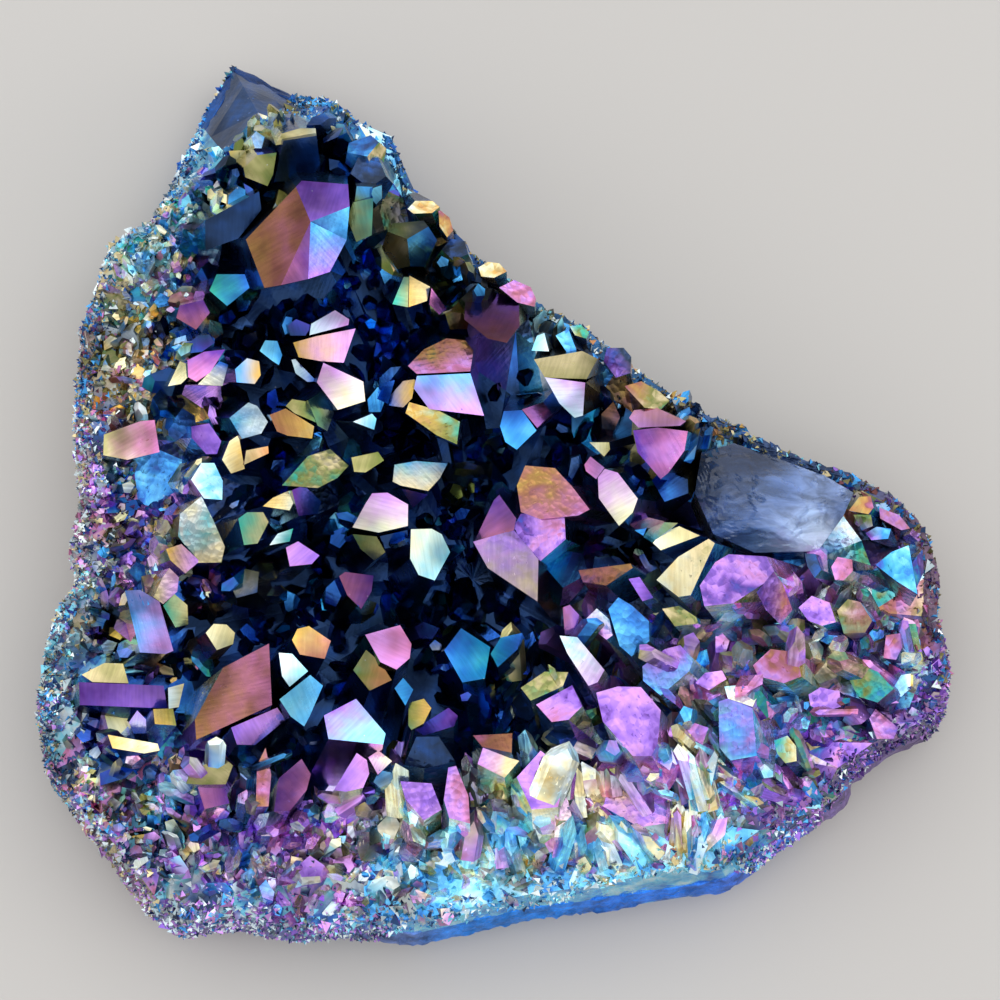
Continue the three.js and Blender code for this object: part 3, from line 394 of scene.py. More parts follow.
def quartz_shape():
    """A quartz crystal of width 1 with its tip at the origin: three main faces meet in the tip.
    The base is at height -1, and is stretched to the length wanted."""
    corners = [math.radians(30 + 60 * k) for k in range(6)]
    radius = 0.5 / math.cos(math.radians(30))
    ring = [(radius * math.cos(a), radius * math.sin(a)) for a in corners]
    points = [(0.0, 0.0, 0.0)]
    points += [(x, y, -END_HEIGHT) for x, y in ring]
    points += [(x, y, -1.0) for x, y in ring]
    for k in (0, 2, 4):
        middle = math.radians(60 + 60 * k)
        points.append((0.5 * math.cos(middle), 0.5 * math.sin(middle), -END_HEIGHT / 2))
    faces = [tuple(range(12, 6, -1))]
    for k in range(6):
        left, right = 1 + k, 1 + (k + 1) % 6
        if k % 2 == 0:
            faces.append((left, left + 6, right + 6, right, 13 + k // 2))
        else:
            faces.append((left, left + 6, right + 6, right))
            faces.append((0, 13 + (k - 1) // 2, left, right, 13 + ((k + 1) // 2) % 3))
    return np.array(points), faces


def point_shape():
    """The point of a tiny crystal: three faces that meet in a tip, and a base sunk in the rock."""
    thirds = (0.0, math.tau / 3, 2 * math.tau / 3)
    points = [(0.0, 0.0, 0.75)] + [(0.62 * math.cos(a), 0.62 * math.sin(a), -0.35) for a in thirds]
    return np.array(points), [(0, 1, 2), (0, 2, 3), (0, 3, 1), (1, 3, 2)]


QUARTZ = quartz_shape()
POINT = point_shape()


class Growth:
    """Collects small crystals and the look of each of their faces."""

    def __init__(self):
        self.points, self.faces, self.ids, self.count = [], [], [], 0

    def add(self, shape, matrix, tip, first_id, spread=True):
        """Adds a placed shape; its faces take looks in turn from first_id, or all that one look."""
        points, faces = shape
        if np.linalg.det(matrix) < 0:
            faces = [face[::-1] for face in faces]
        self.points.append(points @ matrix + tip)
        for index, face in enumerate(faces):
            self.faces.append(tuple(self.count + corner for corner in face))
            self.ids.append(first_id + index * spread)
        self.count += len(points)

    def add_solid(self, points, triangles, ids):
        """Adds the model's own solid, whose facets are numbered already."""
        self.points.append(points)
        self.faces += [tuple(triangle) for triangle in (triangles + self.count).tolist()]
        self.ids += [int(number) for number in ids]
        self.count += len(points)

    def object(self, name):
        """The object, with the number of its look on each face."""
        made = new_object(name, np.vstack(self.points), self.faces)
        made.data.attributes.new("facet", "INT", "FACE").data.foreach_set("value", self.ids)
        return made


# Where the parts of a look are in its row, after the places of its two tints in the film
MIDDLE, RUN, FIBRE, ACROSS, FINISH = slice(2, 5), slice(5, 8), slice(8, 11), slice(11, 14), slice(14, 18)
SHADE, CRUMPLE = 15, 17


class Looks:
    """The look of every facet: its tints, how they run, and how smooth it is."""

    def __init__(self):
        self.rows = []

    def new(self, tint, into=None, middle=(0, 0, 0), run=(0, 0, 0), fibre=(0, 0, 1), across=(1, 0, 0),
            *, rough, shade, lines=0.3, crumple=0.0):
        """Adds a look: two tints, where and how fast one runs into the other, the directions of
        the growth lines and across them, how rough, dark, lined and crumpled it is."""
        into = tint if into is None else into
        self.rows.append((
            TINTS[tint], TINTS[into], *middle, *run, *fibre, *across, rough, shade, lines, crumple,
        ))

    def like(self, row, shade, crumple):
        """Adds another facet's look, a little lighter or darker, and returns its number."""
        row = list(row)
        row[SHADE] *= shade
        row[CRUMPLE] = crumple
        self.rows.append(tuple(row))
        return len(self.rows) - 1

    def write(self, thing):
        """Turns the facet numbers of a mesh into what its material reads at each corner."""
        mesh = thing.data
        numbers = read_all(mesh.attributes["facet"].data, "value", kind=int)
        per_corner = np.repeat(numbers, read_all(mesh.polygons, "loop_total", kind=int))
        place = (read_all(mesh.vertices, "co", 3) / MM)[read_all(mesh.loops, "vertex_index", kind=int)]
        row = np.array(self.rows)[per_corner]
        blend = np.clip(0.5 + ((place - row[:, MIDDLE]) * row[:, RUN]).sum(1), 0, 1)
        film = np.stack([row[:, 0], row[:, 1], blend], 1)
        grain = np.stack([(place * row[:, FIBRE]).sum(1), (place * row[:, ACROSS]).sum(1),
                          per_corner * 7.31 % 97.0], 1)
        for name, values in (("film", film), ("grain", grain)):
            layer = mesh.attributes.new(name, "FLOAT_VECTOR", "CORNER")
            layer.data.foreach_set("vector", values.astype(np.float32).ravel())
        layer = mesh.attributes.new("finish", "FLOAT_COLOR", "CORNER")
        layer.data.foreach_set("color", row[:, FINISH].astype(np.float32).ravel())


class Zones:
    """Zones of tints; at any place the nearer zones count for more."""

    def __init__(self, rows):
        self.places = np.array([(x, y) for x, y, _ in rows], float)
        self.tints = [words.split() for _, _, words in rows]

    def tints_at(self, x, y):
        """The tints of one of the zones round a place."""
        weights = 1.0 / (4.0 + ((self.places - (x, y)) ** 2).sum(1)) ** 2
        steps = np.cumsum(weights)
        return self.tints[int(np.searchsorted(steps, rng.random() * steps[-1]))]


CRYSTAL_ZONES = Zones(ZONES)
RIM_ZONES = Zones(CRUST_ZONES)
looks = Looks()


# ---------------------------------------------------------------- the crystals of the model

# Corners this near each other are one, triangles whose normals agree this well are one facet,
# and lines straight down start at this height
SAME_PLACE = 0.0005
SAME_PLANE = 0.9995
ABOVE = 60.0


def merged(source):
    """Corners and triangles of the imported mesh, with the corners that are in one place made into one."""
    points = read_all(source.data.vertices, "co", 3) / MM
    triangles = read_all(source.data.loops, "vertex_index", kind=int).reshape(-1, 3)
    keys = np.round(points / SAME_PLACE).astype(np.int64)
    _, first, index = np.unique(keys, axis=0, return_index=True, return_inverse=True)
    triangles = index.reshape(-1)[triangles]
    whole = (triangles[:, 0] != triangles[:, 1]) & (triangles[:, 1] != triangles[:, 2])
    whole &= triangles[:, 2] != triangles[:, 0]
    return points[first], triangles[whole]


def flat_facets(points, triangles):
    """Numbers the flat facets: triangles that share an edge and a plane get the same number."""
    normals = np.cross(points[triangles[:, 1]] - points[triangles[:, 0]],
                       points[triangles[:, 2]] - points[triangles[:, 0]])
    areas = np.linalg.norm(normals, axis=1) / 2
    normals /= np.maximum(areas * 2, 1e-12)[:, None]
    edges = {}
    parent = list(range(len(triangles)))

    def root(number):
        while parent[number] != number:
            parent[number] = parent[parent[number]]
            number = parent[number]
        return number

    for number, (a, b, c) in enumerate(triangles.tolist()):
        for edge in ((a, b), (b, c), (c, a)):
            edges.setdefault((min(edge), max(edge)), []).append(number)
    for pair in edges.values():
        if len(pair) == 2 and normals[pair[0]] @ normals[pair[1]] > SAME_PLANE:
            parent[root(pair[0])] = root(pair[1])
    roots = np.array([root(number) for number in range(len(triangles))])
    return np.unique(roots, return_inverse=True)[1], normals, areas


cad_points, cad_triangles = merged(frame["nodes"]["druzy_cluster"])
cad_facets, cad_normals, cad_areas = flat_facets(cad_points, cad_triangles)
cad_tree = BVHTree.FromPolygons([Vector(p) for p in cad_points], cad_triangles.tolist())


def drop(tree, x, y):
    """Where a line straight down at a place meets the mesh: the point, the normal, the triangle."""
    hit, normal, index, _ = tree.ray_cast(Vector((x, y, ABOVE)), Vector((0, 0, -1)))
    return (None, None, -1) if hit is None else (np.array(hit), np.array(normal), index)


def facet_behind(point):
    """The facet of the model that the eye sees through a point, or None."""
    _, _, index, _ = cad_tree.ray_cast(Vector(EYE), Vector(unit(point - EYE)))
    return None if index is None else int(cad_facets[index])


# The model's heights on a square grid, and the grid places on its outline
STEP = 1.0
GRID = np.arange(-64, 64, STEP)
heights = np.zeros((len(GRID), len(GRID)))
for i, x in enumerate(GRID):
    for j, y in enumerate(GRID):
        point, _, _ = drop(cad_tree, x, y)
        heights[i, j] = 0.0 if point is None else point[2]
inside = heights > 0
within = np.logical_and.reduce([np.roll(inside, step, axis) for step in (1, -1) for axis in (0, 1)])
RIM_PLACES = GRID[np.argwhere(inside & ~within)]


def rim_room(x, y):
    """How far a place in the plate is from the plate's outline."""
    return float(np.sqrt(((RIM_PLACES - (x, y)) ** 2).sum(1).min()))


def around(x, y, reach):
    """The heights of the model within reach of a place."""
    i, j = int(round((x - GRID[0]) / STEP)), int(round((y - GRID[0]) / STEP))
    r = int(round(reach / STEP))
    return heights[max(0, i - r):i + r + 1, max(0, j - r):j + r + 1]


def facet_sums(values):
    """A vector for each facet: the sum over its triangles, weighted by their areas."""
    return np.stack([np.bincount(cad_facets, cad_areas * values[:, k]) for k in range(3)], 1)


facet_count = cad_facets.max() + 1
facet_area = np.bincount(cad_facets, cad_areas)
facet_middle = facet_sums(cad_points[cad_triangles].mean(1))
facet_middle /= np.maximum(facet_area, 1e-9)[:, None]
facet_normal = facet_sums(cad_normals)
facet_normal /= np.maximum(np.linalg.norm(facet_normal, axis=1), 1e-9)[:, None]
on_floor = (facet_normal[:, 2] > 0.85) & (facet_middle[:, 2] < FLOOR_HEIGHT)


def gap_tints(x, y, depth):
    """The tints of a crystal so deep in a gap: the deeper, the more often dark tints, which paint the shade
    of the gap.
    """
    if lower_right(x, y) and y > LOWER_EDGE and rng.random() < 0.8:
        return PASTEL_TINTS
    # Painted shade: the deeper the gap, the more often a crystal takes dark tints
    painted_shade_share = min(0.65, max(0.15, depth / 11.0)) * (0.15 if crowded(x, y) else 1.0)
    if rng.random() < painted_shade_share:
        return GAP_SHADE_TINTS
    return CRYSTAL_ZONES.tints_at(x, y)


def name_facets(spots):
    """Gives the facets that the eye sees at the spots their tints, if they have none yet."""
    for x, y, words, *heading in spots:
        number = facet_behind(np.array([x, y, SPOT_HEIGHT]))
        if number is not None and not on_floor[number]:
            named.setdefault(number, (*words.split(), heading[0] if heading else 0))


def is_quartz(number):
    """Whether a facet is one of the broken faces of the clear quartz."""
    x, y, z = facet_middle[number]
    return in_ellipse(x, y, CLEAR_QUARTZ) and z > QUARTZ_FOOT and facet_normal[number][2] > 0.1


named = {}
name_facets(FACET_TINTS)
kept_clear = set(named)
name_facets(OVERGROWN_TINTS)
quartz_facets = {number for number in range(facet_count) if is_quartz(number)}
for number in quartz_facets:
    named[number] = ("coal" if facet_middle[number][0] < QUARTZ_DARK_SIDE else "slate", "royal", 0)
kept_clear |= quartz_facets


def look_of(number, heading):
    """The tints of a facet, the heading in which they run, its shade and how crumpled it is."""
    x, y, z = facet_middle[number]
    rim = rim_room(x, y)
    crumple = max(crumple_at(x, y), 1.0 if rim < CRUMPLED_RIM else 0.0)
    rim_looks = [look[3:] for look in RIM_LOOKS if math.hypot(x - look[0], y - look[1]) < look[2]]
    if number in named:
        tint, into, heading = named[number]
        return tint, into, heading, SHADES.get(tint, 1.0), crumple
    if rim_looks and rim < CRUMPLED_RIM:
        tint, into, shade, crumple = rim_looks[0]
        return tint, into, heading, shade, crumple
    # Painted shade: the floor between the crystals is dark navy at a low shade
    if on_floor[number] and rim > FLOOR_RIM:
        return "navy", "navy", heading, 0.4, crumple
    if rim < BROKEN_RIM and facet_area[number] > 6.0 or facet_normal[number][2] < -0.5:
        return pick(RIM_ZONES.tints_at(x, y)), "navy", heading, 0.5, crumple
    # Painted shade: large faces high up are as bright as the walls of a shallow gap, the others as dark as
    # those of a deep one
    high = facet_area[number] > 3.0 and z > 19.0 and facet_normal[number][2] > 0.35
    tints = gap_tints(x, y, 2.5 if high else 7.0)
    return pick(tints), pick(tints), heading, 1.0, crumple


for number in range(facet_count):
    tint, into, heading, shade, crumple = look_of(number, rng.uniform(0, 360))
    normal = facet_normal[number]
    run = flat_on(leaning(90, heading), normal)
    run = run / max(np.linalg.norm(run), 0.2) / max(1.5, math.sqrt(facet_area[number]) * 1.1)
    fibre = unit(flat_on(leaning(10, rng.uniform(0, 360)), normal) + 1e-4)
    looks.new(tint, into, facet_middle[number], run, fibre, np.cross(normal, fibre),
              rough=rng.uniform(0.15, 0.30), shade=shade, crumple=crumple)


# ---------------------------------------------------------------- smaller crystals in the gaps

small = Growth()
small.add_solid(cad_points, cad_triangles, cad_facets)


def spaced_places(tries, spacing, wanted):
    """Places in the plate with at least that much room round each, where wanted says yes."""
    cell = {}
    places = []
    for _ in range(tries):
        x, y = rng.uniform(-63, 62), rng.uniform(-62, 63)
        key = (int(x // spacing), int(y // spacing))
        keys = [(key[0] + a, key[1] + b) for a in (-1, 0, 1) for b in (-1, 0, 1)]
        near = [cell[k] for k in keys if k in cell]
        if key in cell or any((x - p[0]) ** 2 + (y - p[1]) ** 2 < spacing ** 2 for p in near):
            continue
        found = wanted(x, y)
        if found is not None:
            cell[key] = (x, y)
            places.append(found)
    return places


def add_crystal(tip, axis, width, length, squash, turn, tints, rough, lines=0.5):
    """One quartz crystal, unless it would stand before a named face."""
    rows = turned_frame(axis, turn)
    waist = tip - axis * width * 0.7
    probes = [tip, waist + rows[0] * width * squash / 2, waist - rows[0] * width * squash / 2,
              waist + rows[1] * width / squash / 2, waist - rows[1] * width / squash / 2]
    if any(facet_behind(probe) in kept_clear for probe in probes):
        return
    crumple = crumple_at(tip[0], tip[1])
    matrix = np.array([rows[0] * width * squash, rows[1] * width / squash, rows[2] * width])
    points, faces = QUARTZ
    shaped = points.copy()
    steep = rng.uniform(0.9, 2.3)
    shear = rng.uniform(-0.6, 0.6, 2)
    for part in (RING, RIDGES):
        shaped[part, 2] *= steep
        shaped[part, 2] += shaped[part, :2] @ shear
    shaped[BASE, 2] = -max(length / width, 0.8 * steep)
    shaped[BASE, :2] *= rng.uniform(0.9, 1.1)
    tint, into = pick(tints), pick(tints)
    first = len(looks.rows)
    middle = tip - rows[2] * length * 0.4
    for _ in faces:
        own = tint if rng.random() < 0.55 else pick(tints)
        run = rows[2] / max(length, 1.0) * rng.choice((-1.0, 1.0))
        looks.new(own, into, middle, run, rows[2], rows[0], rough=rough, lines=lines,
                  shade=rng.uniform(0.95, 1.35), crumple=crumple * 0.7)
    small.add((shaped, faces), matrix, tip, first)


def in_gap(x, y):
    """A place where the rock shows deep between taller crystals, and how deep."""
    point, _, _ = drop(cad_tree, x, y)
    if point is None:
        return None
    near = around(x, y, 5.0)
    depth = np.percentile(near, 80) - point[2]
    if depth < (0.3 if crowded(x, y) else 1.5) or near.min() < 3.0:
        return None
    return point, depth


def on_shoulder(x, y):
    """A place on the rock just inside the rim, and its normal."""
    point, normal, index = drop(cad_tree, x, y)
    if point is None or normal[2] < 0.4 or not 1.2 < rim_room(x, y) < 9.0 or bare(x, y):
        return None
    if int(cad_facets[index]) in kept_clear or np.percentile(around(x, y, 3.0), 75) - point[2] > 1.5:
        return None
    return point, normal


def in_crowd(x, y):
    """A place in the lower right part below the crystals round it, and how far below."""
    if not (lower_right(x, y) and rim_room(x, y) > 4.0):
        return None
    point, _, _ = drop(cad_tree, x, y)
    if point is None:
        return None
    depth = np.percentile(around(x, y, 4.0), 75) - point[2]
    return None if depth < 0.6 else (point, depth)


for point, depth in spaced_places(tries=60000, spacing=1.8, wanted=in_gap):
    x, y = point[0], point[1]
    if bare(x, y):
        continue
    width = rng.uniform(1.3, 3.4)
    rise = min(rng.uniform(1.5, 6.0), max(1.2, depth - 0.5))
    if crowded(x, y):
        rise = depth * rng.uniform(0.6, 1.1) + rng.uniform(0.4, 1.4)
    axis = leaning(rng.uniform(0, 42), rng.uniform(0, 360))
    add_crystal(point + axis * rise, axis, width, length=rise + 2.0, squash=rng.uniform(0.55, 1.5),
                turn=rng.uniform(0, 360), tints=gap_tints(x, y, depth), rough=rng.uniform(0.12, 0.30))

for point, normal in spaced_places(tries=40000, spacing=1.7, wanted=on_shoulder):
    axis = unit(normal + 0.8 * leaning(rng.uniform(0, 60), rng.uniform(0, 360)))
    width = rng.uniform(0.9, 2.6)
    rise = rng.uniform(0.5, 2.2)
    add_crystal(point + axis * rise, axis, width, length=rise + 1.6, squash=rng.uniform(0.5, 1.6),
                turn=rng.uniform(0, 360), tints=CRYSTAL_ZONES.tints_at(point[0], point[1]),
                rough=rng.uniform(0.18, 0.38))

for x, y, reach_x, reach_y, count, heading, spread, lean, length, width in FIELDS:
    for _ in range(count):
        px, py = x + reach_x * rng.uniform(-1, 1), y + reach_y * rng.uniform(-1, 1)
        point, _, index = drop(cad_tree, px, py)
        if point is None or rim_room(px, py) < 1.5 or bare(px, py):
            continue
        if int(cad_facets[index]) in kept_clear and rng.random() < 0.8:
            continue
        axis = leaning(rng.uniform(*lean), heading + rng.normal(0, spread))
        size = rng.uniform(*length)
        tip = point + axis * size * 0.75
        above, _, _ = drop(cad_tree, tip[0], tip[1])
        if above is None or tip[2] < above[2] or tip[2] > around(tip[0], tip[1], 4.0).max() + 1.0:
            continue
        tints = CRYSTAL_ZONES.tints_at(px, py)
        if py < LOWER_EDGE and -18 < px < 30:
            tints = PALE_TINTS if py > FROSTY_EDGE else FROSTY_TINTS
        add_crystal(tip, axis, rng.uniform(*width), length=size, squash=rng.uniform(0.5, 1.3),
                    turn=rng.uniform(0, 360), tints=tints, rough=rng.uniform(0.2, 0.38), lines=1.0)

for point, depth in spaced_places(tries=60000, spacing=1.6, wanted=in_crowd):
    axis = leaning(rng.uniform(0, 50), rng.uniform(0, 360))
    rise = depth * rng.uniform(0.6, 1.0) + rng.uniform(0.3, 1.0)
    tints = PASTEL_TINTS if rng.random() < 0.7 else CRYSTAL_ZONES.tints_at(point[0], point[1])
    add_crystal(point + axis * rise, axis, rng.uniform(1.8, 4.2), length=rise + 2.0,
                squash=rng.uniform(0.5, 1.5), turn=rng.uniform(0, 360), tints=tints,
                rough=rng.uniform(0.2, 0.38))

crystals = small.object("druzy_crystals")
looks.write(crystals)


# ---------------------------------------------------------------- the rough rock of the flank

HEADINGS = 540
FLANK_ROWS = 12
TOP_ROWS = 9

# Lines at the flank start this far from the middle
OUTSIDE = 110

# The height of the rim where the model has none, and the most that it may be
USUAL_RIM = 14.0
RIM_TOP = 18.5

# How far the skin turns in over the rim, how much farther at the bare corner, and that corner's
# heading and half width
TURN_IN = 2.2
CORNER_TURN_IN = 11.5
CORNER_HEADING = 115.0
CORNER_WIDTH = 8.0

# Colours of the coated rock round the rim
ROCK_COLOURS = [
    (-35, 58, (0.020, 0.060, 0.200)), (-31, 54, (0.020, 0.065, 0.220)), (-39, 52, (0.020, 0.080, 0.280)),
    (-42, 47, (0.050, 0.240, 0.600)), (-52, 36, (0.250, 0.330, 0.400)),
    (-56, 18, (0.300, 0.230, 0.200)), (-56, -6, (0.280, 0.220, 0.240)), (-61, -30, (0.120, 0.090, 0.170)),
    (-52, -48, (0.240, 0.150, 0.230)), (-40, -58, (0.200, 0.160, 0.340)), (-20, -58, (0.120, 0.180, 0.400)),
    (0, -56, (0.030, 0.230, 0.700)), (20, -52, (0.030, 0.190, 0.700)), (36, -47, (0.080, 0.180, 0.620)),
    (46, -42, (0.200, 0.140, 0.300)), (58, -30, (0.160, 0.110, 0.240)), (60, -12, (0.170, 0.110, 0.150)),
    (40, 2, (0.050, 0.080, 0.160)), (15, 20, (0.040, 0.120, 0.250)), (-5, 38, (0.030, 0.080, 0.220)),
    (-15, 50, (0.030, 0.140, 0.360)),
]


def paint(thing, points, colours, soft):
    """Colours each corner of a mesh from the colours of the places nearest to it."""
    places = np.array([place for *place, _ in colours])
    shades = np.array([colour for _, _, colour in colours])
    weights = 1.0 / (soft + ((np.array(points)[:, None, :2] - places) ** 2).sum(2)) ** 2
    mixed = weights @ shades / weights.sum(1)[:, None]
    layer = thing.data.attributes.new("stone", "FLOAT_COLOR", "POINT")
    layer.data.foreach_set("color", np.insert(mixed, 3, 1.0, axis=1).astype(np.float32).ravel())


def flank_radius(heading, height):
    """How far the model reaches from the middle at a heading and a height."""
    out = np.array([math.cos(heading), math.sin(heading)])
    start = Vector((CENTRE[0] + OUTSIDE * out[0], CENTRE[1] + OUTSIDE * out[1], height))
    hit, _, _, far = cad_tree.ray_cast(start, Vector((-out[0], -out[1], 0.0)))
    return None if hit is None else OUTSIDE - far


def rock_noise(place):
    """Uneven broken rock: how far it stands out at a place, in millimetres."""
    broad = noise.fractal(Vector(place) * 0.22, 0.9, 2.1, 3)
    fine = noise.fractal(Vector(place) * 0.9, 0.8, 2.2, 3)
    chips = noise.cell(Vector(place) * 0.55 + Vector((broad, fine, broad)) * 0.5)
    return max(0.04, 0.15 + 0.45 * broad + 0.20 * fine + 0.25 * chips)


def rock_column(heading, outer):
    """The skin at one heading: up the flank, in over the rim, and back inside the solid."""
    out = np.array([math.cos(heading), math.sin(heading), 0.0])
    middle = np.array([*CENTRE, 0.0])
    top, _, _ = drop(cad_tree, *(middle + out * (outer - 0.9))[:2])
    top = USUAL_RIM if top is None else min(float(top[2]), RIM_TOP)
    column = [middle + out * (outer - 4.0) + (0, 0, 1.0)]
    for row in range(FLANK_ROWS):
        height = 0.35 + (top - 1.0) * row / (FLANK_ROWS - 1)
        radius = flank_radius(heading, height)
        radius = outer - 1.5 if radius is None or radius < outer - 9.0 else radius
        column.append(middle + out * radius + (0, 0, height))
    from_corner = abs((math.degrees(heading) - CORNER_HEADING + 180.0) % 360.0 - 180.0)
    reach = TURN_IN + CORNER_TURN_IN * math.exp(-((from_corner / CORNER_WIDTH) ** 2))
    for row in range(TOP_ROWS):
        place = middle + out * (outer - 0.3 - reach * row / (TOP_ROWS - 1))
        over, _, _ = drop(cad_tree, place[0], place[1])
        height = top if over is None else min(float(over[2]), top + 0.6)
        column.append(place + (0, 0, height))
    column.append(column[-1] - out * 0.6 - (0, 0, 1.6))
    return column


def make_rock():
    """A closed ring of rough rock round the flank, one column for each heading."""
    grid = []
    outer = 60.0
    for step in range(HEADINGS):
        heading = math.tau * step / HEADINGS
        outer = max(flank_radius(heading, z) or 0.0 for z in (6.0, 9.0, 12.0, 14.0)) or outer
        grid.append(rock_column(heading, outer))
    grid = np.array(grid)
    along_ring = np.roll(grid, -1, 0) - np.roll(grid, 1, 0)
    up_column = np.roll(grid, -1, 1) - np.roll(grid, 1, 1)
    normals = np.cross(along_ring, up_column)
    normals /= np.maximum(np.linalg.norm(normals, axis=2), 1e-9)[..., None]
    rows = grid.shape[1]
    for i in range(HEADINGS):
        for j in range(1, rows - 1):
            lift = rock_noise(grid[i, j])
            grid[i, j] += normals[i, j] * (min(lift, 0.2) if j == 1 else lift)
    grid[..., 2] = np.maximum(grid[..., 2], 0.05)
    points = grid.reshape(-1, 3)
    number = np.arange(len(points)).reshape(HEADINGS, rows)
    beside, above, across = np.roll(number, -1, 0), np.roll(number, -1, 1), np.roll(number, (-1, -1), (0, 1))
    faces = np.stack([number, beside, across, above], 2).reshape(-1, 4).tolist()
    made = new_object("druzy_rock", points, faces)
    paint(made, points, ROCK_COLOURS, 9.0)
    return made


rock = make_rock()


# ---------------------------------------------------------------- the chunk of clear quartz

# How many parts each side of a broken face is split in, and how finely its corners are told apart
SPLIT = 14
CORNERS_PER_MM = 500

# Colours of the quartz from its dark left side to the veils at its right, with a near-white painted
# highlight at its lower right
VEIL_AND_HIGHLIGHT_COLOURS = [
    (27, 1, (0.026, 0.042, 0.085)), (31, -6, (0.110, 0.190, 0.400)), (37, -3, (0.190, 0.310, 0.610)),
    (40, -7, (0.420, 0.580, 0.900)), (44, -3, (0.300, 0.420, 0.700)), (33, 2, (0.045, 0.075, 0.160)),
    (41, -8, (0.800, 0.900, 1.000)),
]


def make_quartz():
    """A closed shell over the broken faces, with the shallow waves of a fracture."""
    numbers, points, triangles = {}, [], []

    def corner(place):
        key = tuple(np.round(place * CORNERS_PER_MM).astype(int))
        if key not in numbers:
            numbers[key] = len(points)
            points.append(place)
        return numbers[key]

    for facet, triangle in zip(cad_facets, cad_triangles):
        if int(facet) not in quartz_facets:
            continue
        a, b, c = cad_points[triangle]
        at = {(i, j): corner(a + (b - a) * i / SPLIT + (c - a) * j / SPLIT)
              for i in range(SPLIT + 1) for j in range(SPLIT + 1 - i)}
        for i in range(SPLIT):
            for j in range(SPLIT - i):
                triangles.append((at[i, j], at[i + 1, j], at[i, j + 1]))
                if i + j < SPLIT - 1:
                    triangles.append((at[i + 1, j], at[i + 1, j + 1], at[i, j + 1]))
    triangles = [t for t in triangles if len(set(t)) == 3]
    sides = dict.fromkeys(edge for a, b, c in triangles for edge in ((a, b), (b, c), (c, a)))
    count = len(points)
    top = []
    for place in points:
        wave = noise.fractal(Vector(place) * 0.35, 0.8, 2.1, 3)
        step = noise.cell(Vector(place) * 0.33 + Vector((wave, 0, wave)) * 0.6)
        top.append(place + (0, 0, 0.7 + 0.2 * wave + 0.3 * step))
    below = [place + (0, 0, 0.05) for place in points]
    faces = triangles + [(c + count, b + count, a + count) for a, b, c in triangles]
    faces += [(b, a, a + count, b + count) for a, b in sides if (b, a) not in sides]
    made = new_object("druzy_clear_quartz", top + below, faces)
    paint(made, top + below, VEIL_AND_HIGHLIGHT_COLOURS, 4.0)
    return made


quartz = make_quartz()


# ---------------------------------------------------------------- crust along the rim

# How many grains are tried, how far they stray from the outline, how far in from it they reach,
# and the heights between which they stand
GRAIN_TRIES = 46000
CRUST_SPREAD = 2.4
CRUST_REACH = 7.5
CRUST_FOOT = 1.5
CRUST_TOP = 21


def crust_tints(x, y):
    """The tints of one grain: mostly one tint of its zone, now and then a white one as a painted glint or a
    navy one as painted shade between grains.
    """
    main = pick(RIM_ZONES.tints_at(x, y))
    return [main, main, main, main, main, "navy", "white"]


def add_grain(place, rows, sizes, tints, rough):
    """A tiny crystal point: rows are its two directions across and the one that it stands in."""
    matrix = rows * np.array(sizes)[:, None]
    matrix[2] += rows[0] * sizes[0] * rng.uniform(-0.4, 0.4) + rows[1] * sizes[1] * rng.uniform(-0.4, 0.4)
    first = len(looks.rows)
    for _ in POINT[1]:
        looks.new(pick(tints), None, place, rough=rough, lines=0.2, shade=rng.uniform(0.55, 1.15))
    crust.add(POINT, matrix, place, first)


def rim_hit(tree):
    """A place on the rim from above or from the side, its normal, and how large grains are there."""
    x, y = RIM_PLACES[rng.integers(len(RIM_PLACES))]
    if rng.random() < 0.6:
        x, y = x + rng.normal(0, CRUST_SPREAD), y + rng.normal(0, CRUST_SPREAD)
        point, normal, _ = drop(tree, x, y)
        if point is None or rim_room(x, y) > CRUST_REACH or point[2] > CRUST_TOP:
            return None
        return point, normal, 1.0
    out = unit(np.array([x, y]) - CENTRE)
    start = Vector((x + 12 * out[0], y + 12 * out[1], rng.uniform(4.0, 19.0)))
    hit, normal, _, _ = tree.ray_cast(start, Vector((-out[0], -out[1], 0.0)), 30.0)
    return None if hit is None else (np.array(hit), np.array(normal), 0.55)


crust = Growth()
crystal_tree = tree_of(crystals)
rock_tree = tree_of(rock)
for _ in range(GRAIN_TRIES):
    found = rim_hit(rock_tree if rng.random() < 0.6 else crystal_tree)
    if found is None:
        continue
    point, normal, scale = found
    if bare(point[0], point[1]) or point[2] < CRUST_FOOT:
        continue
    upper_right = 0.8 * point[0] + point[1] > 22 and point[0] > -20
    if upper_right and rng.random() < 0.6:
        continue
    axis = unit(normal + 0.5 * leaning(90, rng.uniform(0, 360)))
    size = rng.uniform(0.35, 0.95) * (1.0 if rng.random() < 0.9 else 1.5) * scale
    sizes = (size * rng.uniform(0.7, 1.4), size * rng.uniform(0.7, 1.4), size * rng.uniform(0.5, 1.0))
    add_grain(point, turned_frame(axis, rng.uniform(0, 360)), sizes, crust_tints(point[0], point[1]),
              rng.uniform(0.15, 0.4))
crust_object = crust.object("druzy_crust")
looks.write(crust_object)

